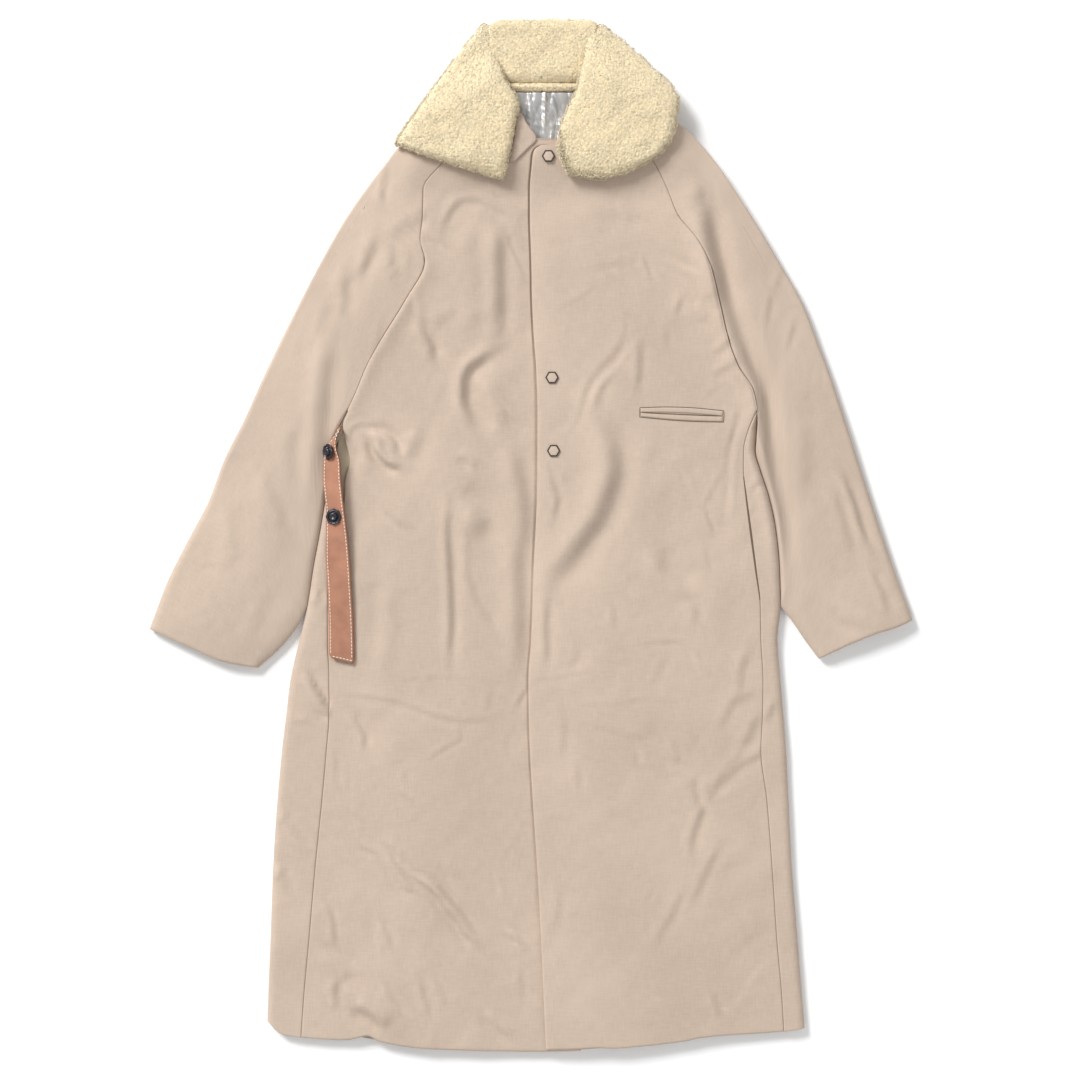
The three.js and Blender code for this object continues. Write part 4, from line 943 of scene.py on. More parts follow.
# Shares of the way from a side seam to the laid fold, and the rows of the flat yoke above
WRAP_SHARES = np.array([0, 0.02, 0.06, 0.12, 0.25, 0.4, 0.55, 0.7, 0.85])
YOKE_ROWS = np.concatenate([[144.6], np.arange(148, 512, 9.0), [512.4, 516, 521, 526, 530.4]])


def spread(width, step):
    """Offsets across a piece: the edge steps at both sides, and equal parts of what lies between."""
    count = max(int((width.max() - 2 * EDGE_STEPS[-1]) / step), 2)
    share = np.linspace(0, 1, count + 1)[1:-1]
    scale = np.minimum(1, width / (4 * EDGE_STEPS[-1]))[:, None]
    near = EDGE_STEPS[None, :] * scale
    middle = near[:, -1:] + share[None, :] * (width[:, None] - 2 * near[:, -1:])
    return np.concatenate([near, middle, width[:, None] - near[:, ::-1]], axis=1)


def lapped_spread(width, usual, step):
    """As spread, with the lap steps too, and all of it scaled from the usual width to the real one."""
    before = np.linspace(EDGE_STEPS[-1], LAP_STEPS[0], int(50 / (2 * step)) + 2)[1:-1]
    count = int((usual.max() - LAP_STEPS[-1] - EDGE_STEPS[-1]) / step)
    after = np.linspace(0, 1, count + 1)[1:-1]
    far = LAP_STEPS[-1] + after[None, :] * (usual[:, None] - EDGE_STEPS[-1] - LAP_STEPS[-1])
    fixed = np.concatenate([EDGE_STEPS, before, LAP_STEPS])[None, :] * np.ones((len(width), 1))
    across = np.concatenate([fixed, far, usual[:, None] - EDGE_STEPS[None, ::-1]], axis=1)
    return across * (width / usual)[:, None]


def front_rows(top, step):
    """Rows up the coat to a top: close at the hem, the underarm and the neck, a step apart between."""
    rows = np.concatenate([
        np.arange(HEM_BASE, HEM_BASE + 4, 1.0), np.arange(HEM_BASE + 5, 147.0, step), UNDERARM_ROWS,
        np.arange(150.0, 452.0, step), np.arange(452.0, 472.8, 1.2), np.arange(474.0, 512.0, step), [NECK]])
    return rows[rows <= top + 1e-6]


def front_outer(side, y):
    """The front's outer edge: the side seam up to the underarm, then the raglan seam."""
    sign = 1 if side == "left" else -1
    seam = through(BODY["y"], BODY["seam_" + side], y)
    if side == "right":
        seam = np.where(y > POCKET_EDGE["y"][0], through(POCKET_EDGE["y"], POCKET_EDGE["x"], y), seam)
    raglan = through(RAGLAN["y"], RAGLAN[side], y)
    return np.where(y < SIDE_SEAM_TOP, seam, raglan) - sign * SEAM_GAP


def edge_groove(side, y):
    """The front's outer edge: how far it rises over the sleeve, and how deep and wide it turns down.

    Each is a fixed amount plus one that comes in where the sleeve's fold lies against it.
    """
    fold = smoothstep(345, 318, y) * smoothstep(120, 160, y)
    rise, turn = (3.0, 3.9) if side == "left" else (2.2, 1.6)
    return rise * fold, 0.8 + turn * fold, 1.6 + 5.0 * fold


def lap_rise(x, y):
    """The upper front's rise: a wall and its gap over the lower one, eased down past the underlap."""
    inward = x - through(FRONT_EDGE["y"], FRONT_EDGE["x"], y)
    return (WALL + LAP_GAP) * smoothstep(170, UNDERLAP + 2, inward)


def front_left_top(x, y):
    """The upper front's own surface: the coat's, and its rise over the lower front."""
    return top_at(x, y) + lap_rise(x, y)


def build_front(side, step):
    """A front: rows from the hem to the neck, columns from its inner edge to its outer edge.

    Its upper side is the coat's surface, raised by the lap and by a bell at the outer edge, less the
    deepest of the quarter rounds at its edges. Its underside is a wall lower, or on the back's wall.
    """
    left = side == "left"
    sign = 1 if left else -1
    y = front_rows(NECK, step)
    outer = front_outer(side, y)
    edge = through(FRONT_EDGE["y"], FRONT_EDGE["x"], y)
    if left:
        inner = np.where(y > PLACKET_TOP, through(UPPER_NECKLINE["y"], UPPER_NECKLINE["x"], y), edge)
        width = np.abs(outer - inner)
        across = spread(width, step)
    else:
        under = np.minimum(edge + UNDERLAP, UNDERLAP_END)
        inner = np.where(y > UNDERLAP_TOP, through(LOWER_NECKLINE["y"], LOWER_NECKLINE["x"], y), under)
        width = np.abs(outer - inner)
        across = lapped_spread(width, np.abs(outer - edge - UNDERLAP), step)
    x = inner[:, None] + sign * across
    y_flat = np.repeat(y[:, None], x.shape[1], axis=1)
    y_plan = hem_place(x, y_flat)
    height = top_at(x, y_plan)
    if left:
        height = height + lap_rise(x, y_flat)
        by_placket = smoothstep(90, 55, x - edge[:, None]) * np.clip((HEM_BASE + 30 - y_flat) / 30, 0, 1)
        y_plan = y_plan + HEM_STEP * by_placket
    rise, depth, reach = edge_groove(side, y)
    from_outer = width[:, None] - across
    height = height + rise[:, None] * np.exp(-((from_outer / 14) ** 2))
    drop = depth[:, None] * rounded(from_outer, reach[:, None])
    if left:
        drop = np.maximum(drop, turned_down(across, PLACKET_ROLL) + turned_down(across, PLACKET_EDGE))
    else:
        # Pressed down just beside the upper front's edge, more so towards the neck
        to_edge = edge[:, None] - x
        tuck = smoothstep(2.9, 0.3, to_edge) * smoothstep(-7, -4, to_edge) * (y_flat < PLACKET_TOP)
        drop = np.maximum(drop, (0.9 + 1.2 * smoothstep(-70, -10, y_flat)) * tuck)
        drop = np.maximum(drop, turned_down(across, UNDERLAP_ROUND))
    drop = np.maximum(drop, turned_down(y_flat - HEM_BASE, HEM_ROUND))
    drop = np.maximum(drop, turned_down(NECK - y_flat, NECK_ROUND))
    low = lift_at(x, y_plan) + WALL + SEAM_GAP
    under_side = np.maximum(height - WALL + 0.5 * drop, low)
    top = np.maximum(height - drop, under_side + 0.2)
    return Shape().slab(x, y_plan, top, under_side)


def wrap_section(side, y, inner):
    """From the side seam over the front to the fold and round it to the floor, as rows of points.

    The fold is half an ellipse: its X goes with a sine and its height with a cosine.
    """
    sign = 1 if side == "left" else -1
    wall = WALL if inner else 0.0
    seam = through(BODY["y"], BODY["seam_" + side], y)
    edge = through(BODY["y"], BODY["fold_" + side], y) - sign * SEAM_GAP - sign * wall
    reach = np.minimum(ROLL - wall + 4.0, 0.8 * np.abs(edge - seam))
    turn = edge - sign * reach
    x = seam[:, None] + WRAP_SHARES[None, :] * (turn - seam)[:, None]
    y_grid = np.repeat(y[:, None], len(WRAP_SHARES), axis=1)
    height = top_at(x, hem_place(x, y_grid)) - wall
    height = height - (0.3 if inner else 0.7) * rounded(np.abs(x - seam[:, None]), 1.5)
    crown = (top_at(turn, hem_place(turn, y)) - wall)[:, None]
    angle = np.linspace(0, math.pi, 13)[None, :]
    round_x = edge[:, None] - sign * reach[:, None] * (1 - np.sin(angle))
    round_z = wall + (crown - wall) * (1 + np.cos(angle)) / 2
    z = np.concatenate([height, round_z], axis=1)
    return np.concatenate([x, round_x], axis=1), np.maximum(z, wall)


def build_back(step):
    """The back: a section that wraps round both laid folds, and a flat yoke above the underarm."""
    y = front_rows(UNDERARM, step)
    grids = []
    for inner in (False, True):
        right_x, right_z = wrap_section("right", y, inner)
        left_x, left_z = wrap_section("left", y, inner)
        share = np.linspace(0, 1, 26)[1:-1]
        floor_x = right_x[:, -1:] + share[None, :] * (left_x[:, -1:] - right_x[:, -1:])
        floor_z = np.full_like(floor_x, WALL if inner else 0.0)
        x = np.concatenate([right_x, floor_x, left_x[:, ::-1]], axis=1)
        z = np.concatenate([right_z, floor_z, left_z[:, ::-1]], axis=1)
        y_plan = hem_place(x, np.repeat(y[:, None], x.shape[1], axis=1))
        grids.append(np.dstack([x, y_plan, z]))
    ends = []
    for side, sign in (("right", 1), ("left", -1)):
        line = through(RAGLAN["y"] + BACK_NECK["y"][1:], RAGLAN[side] + BACK_NECK[side][1:], YOKE_ROWS)
        ends.append((line + sign * np.where(YOKE_ROWS < UNDERARM, 7, SEAM_GAP))[:, None])
    share = np.linspace(0, 1, 30)[None, :]
    x = ends[0] + share * (ends[1] - ends[0])
    y = np.repeat(YOKE_ROWS[:, None], x.shape[1], axis=1)
    z = lift_at(x, y)
    return Shape().wall(*grids).slab(x, y, z + WALL, z)


def sleeve_lines(side):
    """The four boundary lines of a sleeve's plan, each as a function of its length share."""
    y = np.linspace(UNDERARM, NECK, 240)
    raglan = np.stack([through(RAGLAN["y"], RAGLAN[side], y), y], axis=1)[::-1]
    y = np.linspace(UNDERARM, BODY["y"][FREE_FROM], 120)
    beside = np.stack([through(BODY["y"], BODY["fold_" + side], y), y], axis=1)
    free = along([beside[-1]] + UNDERSIDE[side], np.linspace(0, 1, 40))[1:]
    shoulder = along(SHOULDER[side], np.linspace(0, 1, 400))
    cuff = along(CUFF[side], np.linspace(0, 1, 60))

    def line(points):
        lengths = np.concatenate([[0], np.cumsum(np.linalg.norm(np.diff(points, axis=0), axis=1))])
        lengths /= lengths[-1]
        return lambda share: np.stack([np.interp(share, lengths, points[:, k]) for k in (0, 1)], axis=-1)

    return line(raglan), line(cuff), line(shoulder), line(np.concatenate([beside, free]))


def sleeve_plan(lines, s, t):
    """A blend of the four lines: s runs from the seam to the cuff, t from the shoulder to the underarm.

    Opposite lines are blended by shares that lean to the shoulder and the cuff, and the blend of
    the corners, which both pairs count, is taken off once.
    """
    raglan, cuff, shoulder, underarm = lines
    under = (np.clip(t, 0, 1) ** UNDERSIDE_SHARPNESS + 0.6 * t * (1 - t) ** 4)[..., None]
    near, far = (np.clip(1 - s, 0, 1) ** 3)[..., None], s[..., None]
    plan = near * raglan(t) + far * cuff(t) + (1 - under) * shoulder(s) + under * underarm(s)
    plan -= near * ((1 - under) * raglan(0.0) + under * raglan(1.0))
    return plan - far * ((1 - under) * cuff(0.0) + under * cuff(1.0))


def build_sleeve(side, step):
    """A flattened tube: each ring runs over the top from the shoulder fold and back underneath.

    Its height is the floor plus a share of the way to the coat's surface: half at either fold, all
    of it on top and none underneath, by quarter rounds.
    """
    lines = sleeve_lines(side)
    share = np.linspace(0, 1, int(SLEEVE_RUN / step))
    s = np.unique(np.concatenate([share, [0.003, 0.008, 0.995, 0.9985]]))
    ones = np.ones_like(s)
    width = np.linalg.norm(sleeve_plan(lines, s, ones) - sleeve_plan(lines, s, 0 * ones), axis=1)[:, None]
    fold = 1.8 if side == "left" else -0.6

    def ring(inset):
        full = SLEEVE_STEPS[-1] - inset

        def stations(count):
            left = inset + SLEEVE_STEPS[None, :] * (full / SLEEVE_STEPS[-1]) * ones[:, None]
            inside = np.linspace(0, 1, count)[None, 1:-1]
            core = left[:, -1:] + inside * (width - 2 * left[:, -1:])
            return np.concatenate([left, core, width - left[:, ::-1]], axis=1)

        def surface(distance, top):
            t = distance / width
            along_it = np.repeat(s[:, None], t.shape[1], axis=1)
            plan = sleeve_plan(lines, along_it, t)
            from_seam, from_cuff = (np.linalg.norm(plan - sleeve_plan(lines, end, t), axis=-1)
                                    for end in (np.zeros_like(t), np.ones_like(t)))
            x, y = plan[..., 0], plan[..., 1]
            edge = np.minimum(distance, width - distance) - inset
            rise = 0.5 + 0.5 * (1 - rounded(edge, full))
            groove = fold * smoothstep(0.38, 0.6, t)
            drop = (0.8 + groove) * rounded(from_seam, 1.6 + groove)
            hem = 1.6 * rounded(from_cuff, 2.2)
            foot = lift_at(x, y) + inset
            if inset:
                crown = np.maximum(top_at(x, y) - inset + hem - 0.4 * drop, foot + 0.6)
            else:
                crown = top_at(x, y) - drop - hem
            z = foot + (crown - foot) * (rise if top else 1 - rise)
            return np.dstack([x, y, z]), np.dstack([distance, along_it * SLEEVE_RUN])

        # The underside lies flat and needs few points; the top carries the folds
        over, under = surface(stations(40), True), surface(stations(12), False)
        return [np.concatenate([a, b[:, 1:-1][:, ::-1]], axis=1) for a, b in zip(over, under)]

    outer, grain = ring(0.0)
    return Shape().wall(outer, ring(WALL)[0], closed=True, grain=grain)


# Shearling


def leaf_floor(side, x, y):
    """What a leaf rests on: the coat inside the shoulder line, and the collar's fall outside it."""
    line = SHOULDER_LINE[side]
    outside = (x - line["neck"][0]) * line["normal"][0] + (y - line["neck"][1]) * line["normal"][1]
    on_coat = 1 - smoothstep(line["full"], line["none"], outside)
    low = FALL_THICK + 0.8
    neck_floor = LIFT + WALL + 1.9
    on_neck = 1 - smoothstep(BACK_NECK["y"][-1] + 4, BACK_NECK["y"][-1] + 24, y)
    coat = (front_left_top(x, y) if side == "left" else top_at(x, y)) + 0.6
    return np.maximum(low + (coat - low) * on_coat, low + (neck_floor - low) * on_neck)


def pelt(shape, x, y, floor, thickness, seed, side_rim=15.0):
    """A shearling pad: a rounded slab whose upper face is covered with rounded curls.

    Height above the floor is the thickness times a rim curve, plus two sizes of lumps.
    """
    rows, columns = x.shape
    u, v = np.linspace(0, 1, columns)[None, :], np.linspace(0, 1, rows)[:, None]
    span_u = np.hypot(np.diff(x, axis=1), np.diff(y, axis=1)).sum(axis=1, keepdims=True)
    span_v = np.hypot(np.diff(x, axis=0), np.diff(y, axis=0)).sum(axis=0, keepdims=True)
    to_side, to_end = np.minimum(u, 1 - u) * span_u, np.minimum(v, 1 - v) * span_v
    rim = 1 - np.maximum(rounded(to_side, side_rim), rounded(to_end, 15.0))
    out_x, out_y = x - x.mean(), y - y.mean()
    away = np.maximum(np.hypot(out_x, out_y), 1)
    fringe = smoothstep(6, 0, np.minimum(to_side, to_end)) * (1.1 * lattice_noise(x, y, 4.5, seed + 5) + 0.6)
    x, y = x + fringe * out_x / away, y + fringe * out_y / away
    lumps = 1.1 * curl_bumps(x, y, 3.3, seed) + 0.6 * curl_bumps(x, y, 2.1, seed + 1)
    lumps += 1.1 * lattice_noise(x, y, 18, seed + 2)
    top = floor + thickness * (0.36 + 0.56 * rim) + (lumps - 0.9) * (0.5 + 0.5 * rim)
    bottom = floor + 0.12 * thickness * (1 - rim)
    shape.slab(x, y, top, bottom)
    return x, y, top


# A curl's thickness at its five rings
CURL_TAPER = (0.55, 1.0, 1.05, 0.9, 0.35)


def curls(shape, x, y, top, count, seed, size=(0.9, 1.4), girth=(0.3, 0.42), sink=0.6):
    """Wool curls: three-sided tubes bent into arcs, stood on the pile at random angles.

    Each of five rings stands round the centre plus the radius times a spoke, which turns from ring
    to ring in the curl's own plane.
    """
    rng = np.random.RandomState(seed)
    rows, columns = x.shape
    r = rng.uniform(0, rows - 1.001, count)
    c = rng.uniform(0, columns - 1.001, count)
    i, j = r.astype(int), c.astype(int)
    s, t = (r - i), (c - j)

    def read(grid):
        low = grid[i, j] * (1 - t) + grid[i, j + 1] * t
        high = grid[i + 1, j] * (1 - t) + grid[i + 1, j + 1] * t
        return low * (1 - s) + high * s

    centre = np.stack([read(x), read(y), read(top) - sink], axis=1)
    radius = rng.uniform(*size, count)[:, None]
    tube = radius * rng.uniform(*girth, count)[:, None]
    turn = rng.uniform(0, 2 * math.pi, count)
    tilt = rng.uniform(0.15, 1.0, count)
    along_axis = np.stack([np.cos(turn), np.sin(turn), np.zeros(count)], axis=1)
    side = np.stack([-np.sin(turn) * np.cos(tilt), np.cos(turn) * np.cos(tilt), np.sin(tilt)], axis=1)
    up = np.cross(along_axis, side)
    sweep = rng.uniform(3.4, 5.2, count)[:, None]
    rings = []
    for k, taper in enumerate(CURL_TAPER):
        angle = sweep * (k / (len(CURL_TAPER) - 1) - 0.5)
        spoke = np.cos(angle) * along_axis + np.sin(angle) * side
        for m in range(3):
            around = 2 * math.pi * m / 3
            offset = math.cos(around) * spoke + math.sin(around) * up
            rings.append(centre + radius * spoke + tube * taper * offset)
    points = np.stack(rings, axis=1)
    base = points.shape[1] * np.arange(count)[:, None, None]
    sides = ring_faces(len(CURL_TAPER), 3)[:, [0, 3, 2, 1]]
    ends = np.array([[0, 1, 2], [12, 14, 13]])
    shape.join(points.reshape(-1, 3), (sides + base).reshape(-1, 4), triangles=(ends + base).reshape(-1, 3))


def pile_piece(name, shape):
    """Makes a shearling piece of a pad and its curls, which are already joined in one mesh."""
    make_piece("shearling_" + name, shape, finish("shearling"), ["collar_" + name],
               grained=False)


def leaf_grid(side, rows, columns):
    """The leaf's plan: rows between the rolled edge and the outer edge, bowed by the belly."""
    table = LEAF[side]
    v = np.linspace(0, 1, rows)
    place = np.linspace(0, 1, len(table["belly"]))
    inner, outer = (np.stack([through(place, [p[k] for p in table[line]], v) for k in (0, 1)], axis=1)
                    for line in ("inner", "outer"))
    belly = through(place, table["belly"], v)
    u = np.linspace(0, 1, columns)[None, :, None]
    plan = inner[:, None] * (1 - u) + outer[:, None] * u
    return plan[..., 0], plan[..., 1] - belly[:, None] * np.sin(math.pi * u[..., 0])


def span_grid(table, rows, columns):
    """A plan between a left and a right line that are given by height on the plan."""
    y = np.linspace(table["y"][0], table["y"][-1], rows)
    left = through(table["y"], table["left"], y)
    right = through(table["y"], table["right"], y)
    u = np.linspace(0, 1, columns)[None, :]
    return left[:, None] * (1 - u) + right[:, None] * u, np.repeat(y[:, None], columns, axis=1)


# Settings and operators


class CoatSizes(bpy.types.PropertyGroup):
    """Sizes of the coat's finish that a user may change."""

    fold_strength: bpy.props.FloatProperty(
        name="Fold strength", description="How deep the laid folds and creases are", default=1.0,
        min=0.0, max=1.5, subtype="FACTOR")
    mesh_step: bpy.props.FloatProperty(
        name="Mesh step", description="Distance between the points of the cloth", default=0.0034,
        min=0.002, max=0.02, unit="LENGTH")
    stitch_pitch: bpy.props.FloatProperty(
        name="Stitch pitch", description="Length of one saddle stitch on the strap", default=0.0042,
        min=0.002, max=0.01, unit="LENGTH")
    curl_count: bpy.props.IntProperty(
        name="Curls", description="Curls on one collar leaf", default=2200, min=0, max=8000)


COLOUR = {"subtype": "COLOR", "size": 4}


class CoatLooks(bpy.types.PropertyGroup):
    """Colours of the coat."""

    cloth: bpy.props.FloatVectorProperty(
        name="Cloth", description="Beige of the wool", default=linear("#c3b09f"), **COLOUR)
    shearling: bpy.props.FloatVectorProperty(
        name="Shearling", description="Cream of the collar", default=linear("#e0ceaa"), **COLOUR)
    lining: bpy.props.FloatVectorProperty(
        name="Lining", description="Silver of the lining", default=linear("#c4c2c0"), **COLOUR)
    leather: bpy.props.FloatVectorProperty(
        name="Leather", description="Tan of the strap", default=linear("#ab7961"), **COLOUR)
    thread: bpy.props.FloatVectorProperty(
        name="Thread", description="White of the saddle stitch", default=linear("#f3ead9"), **COLOUR)


class COAT_OT_field(bpy.types.Operator):
    """Work out the relief of the laid cloth"""

    bl_idname = "coat.field"
    bl_label = "Work Out Folds"

    def execute(self, context):
        FIELD["relief"] = make_field(context.scene.coat_sizes.fold_strength)
        return {"FINISHED"}


class COAT_OT_body(bpy.types.Operator):
    """Build the two fronts and the back"""

    bl_idname = "coat.body"
    bl_label = "Build Body"

    def execute(self, context):
        step = context.scene.coat_sizes.mesh_step / MM
        for side in ("left", "right"):
            name = "front_" + side
            piece = make_piece("wool_" + name, build_front(side, step), finish("wool"), [name])
        back = make_piece("wool_back", build_back(step), finish("wool"), ["back_panel"])
        return {"FINISHED"}


class COAT_OT_sleeves(bpy.types.Operator):
    """Build the two raglan sleeves"""

    bl_idname = "coat.sleeves"
    bl_label = "Build Sleeves"

    def execute(self, context):
        step = context.scene.coat_sizes.mesh_step / MM
        for side in ("left", "right"):
            shape = build_sleeve(side, step)
            piece = make_piece("wool_sleeve_" + side, shape, finish("wool"), ["sleeve_" + side])
        return {"FINISHED"}


class COAT_OT_collar(bpy.types.Operator):
    """Build the shearling leaves, stand, band and under-fall"""

    bl_idname = "coat.collar"
    bl_label = "Build Collar"

    def execute(self, context):
        count = context.scene.coat_sizes.curl_count
        for seed, side in ((11, "left"), (31, "right")):
            shape = Shape()
            x, y = leaf_grid(side, 150, 124)
            x, y, top = pelt(shape, x, y, leaf_floor(side, x, y), COLLAR_THICK, seed, 11.0)
            curls(shape, x, y, top, count, seed)
            for part, many, more, kind in WISP_PLACES[side]:
                curls(shape, x[part], y[part], top[part], many, seed + more, **kind)
            pile_piece("leaf_" + side, shape)
        for name, table, rows, thick, share, tucked in (
            ("stand", STAND, 70, COLLAR_THICK, 0.45, 9),
            ("stand_band", STAND_BAND, 14, COLLAR_THICK - 2, 0.06, 6),
        ):
            shape = Shape()
            x, y = span_grid(table, rows, 110)
            # Its sides run on under the leaves
            x = x + tucked * np.linspace(-1, 1, x.shape[1])
            x, y, top = pelt(shape, x, y, np.full_like(x, FALL_THICK + 0.8), thick, 51, 4.0)
            curls(shape, x, y, top, int(share * count), 52)
            pile_piece(name, shape)
        shape = Shape()
        x, y = span_grid(COLLAR_FALL, 70, 110)
        x = x + 4 * np.linspace(1, -1, x.shape[1])
        x, y, top = pelt(shape, x, y, np.zeros_like(x), FALL_THICK - 1.2, 61)
        curls(shape, x, y, top - 1.0, 800, 62)
        pile_piece("back_fall", shape)
        return {"FINISHED"}


class COAT_OT_neck(bpy.types.Operator):
    """Build the lining in the neck opening and the point of the under-collar"""

    bl_idname = "coat.neck"
    bl_label = "Build Neck"

    def execute(self, context):
        x, y = span_grid(LINING, 60, 80)
        from_pleat = (x - PLEAT["x"]) / PLEAT["half"]
        pleat = PLEAT["height"] * np.exp(-(from_pleat**2)) * smoothstep(470, 500, y)
        creases = 0.8 * lattice_noise(x, y * 0.4, 7, 71) + 0.5 * lattice_noise(x + y, y, 5, 72)
        z = lift_at(x, y) + LINING_FLOOR + np.maximum(creases + 0.6, 0) + pleat
        lining = make_piece("silver_lining", Shape().slab(x, y, z + LINING_THICK, z), finish("lining"),
                            ["lining_neck"])
        x, y = span_grid(UNDERCOLLAR, 40, 24)
        edge = np.minimum(np.arange(24), 23 - np.arange(24))[None, :] * np.ones((40, 1))
        z = top_at(x, y) + 0.4
        top = z + 2.2 - 1.4 * rounded(edge, 4.0)
        make_piece("wool_undercollar", Shape().slab(x, y, top, z), finish("wool"), ["undercollar_right"])
        return {"FINISHED"}


def strip_between(lines, rows, columns, rise, base):
    """A strip that lies on the upper front: straight lines between its ends, bowed by a sine."""
    u = np.linspace(0, 1, columns)[None, :]
    v = np.linspace(0, 1, rows)[:, None]
    (xa, ya), (xb, yb) = ((x0 + (x1 - x0) * u, y0 + (y1 - y0) * u + bow * np.sin(math.pi * u))
                          for (x0, y0), (x1, y1), bow in lines)
    x, y = xa * (1 - v) + xb * v, ya * (1 - v) + yb * v
    floor = front_left_top(x, y) + base
    edge_v = np.minimum(v, 1 - v) * np.abs(yb - ya)
    edge_u = np.minimum(u, 1 - u) * 99
    top = floor + rise * (1 - 0.85 * np.maximum(rounded(edge_v, 1.6), rounded(edge_u, 1.6)))
    return np.dstack([x, y, top]), np.dstack([x, y, floor])


class COAT_OT_pockets(bpy.types.Operator):
    """Build the chest pocket's lips, the painted shade in its mouth and round its lips, and the side
    pockets' painted slit shade and facing
    """

    bl_idname = "coat.pockets"
    bl_label = "Build Pockets"

    def execute(self, context):
        for name, lines in WELT.items():
            shape = Shape().wall(*strip_between(lines, 9, 90, 1.15, 0.1))
            make_piece("wool_welt_" + name, shape, finish("wool"), ["chest_welt_" + name])
        # A strip of painted shade in the chest pocket's mouth
        shape = Shape().wall(*strip_between(WELT_MOUTH_SHADE, 4, 60, 0.5, 0.1))
        make_piece("chest_pocket_mouth_shade", shape, finish("mouth"))
        # Strips of painted shade along the stitched groove round both lips
        shape = Shape()
        for lines in WELT_SHADE_LINE:
            shape.wall(*strip_between(lines, 4, 40, 0.7, 0.05))
        make_piece("chest_pocket_outline_shade", shape, finish("mouth"))
        # Painted shade in the closed side pocket's slit: a dark strip that follows its seam and narrows to
        # both ends by a sine
        y = np.linspace(SIDE_SLIT_SHADE["low"], SIDE_SLIT_SHADE["high"], 60)[:, None]
        half = SIDE_SLIT_SHADE["half"] * np.sin(math.pi * np.linspace(0.04, 0.96, 60))[:, None] ** 0.6
        x = through(BODY["y"], BODY["seam_left"], y) - 0.3 + half * np.linspace(-1, 1, 5)[None, :]
        y = np.repeat(y, 5, axis=1)
        z = top_at(x, y) + 0.1
        make_piece("side_pocket_slit_shade", Shape().slab(x, y, z, z - 1), finish("mouth"))
        x, y = span_grid(FACING, 40, 8)
        z = np.full_like(x, FACING_TOP)
        make_piece("pocket_facing", Shape().slab(x, y, z, z - 1.4), finish("facing"),
                   ["pocket_facing_right"])
        return {"FINISHED"}


def strap_surface(u, y):
    """The strap's underside, from its left edge to its right by u.

    It lies on the highest ground under it, and rises across by u squared where it stands on edge.
    """
    down = -np.array(STRAP["y"])
    left, right, rise = (through(down, STRAP[key], -y) for key in ("left", "right", "rise"))
    x = left + (right - left) * u
    floor = np.maximum(np.maximum(top_at(left, y), top_at(x, y)), top_at(right, y))
    slant = 3 + 3.5 * smoothstep(-60, -140, y)
    return np.stack([x, y - slant * u, floor + 0.8 + rise * u * u], axis=-1)


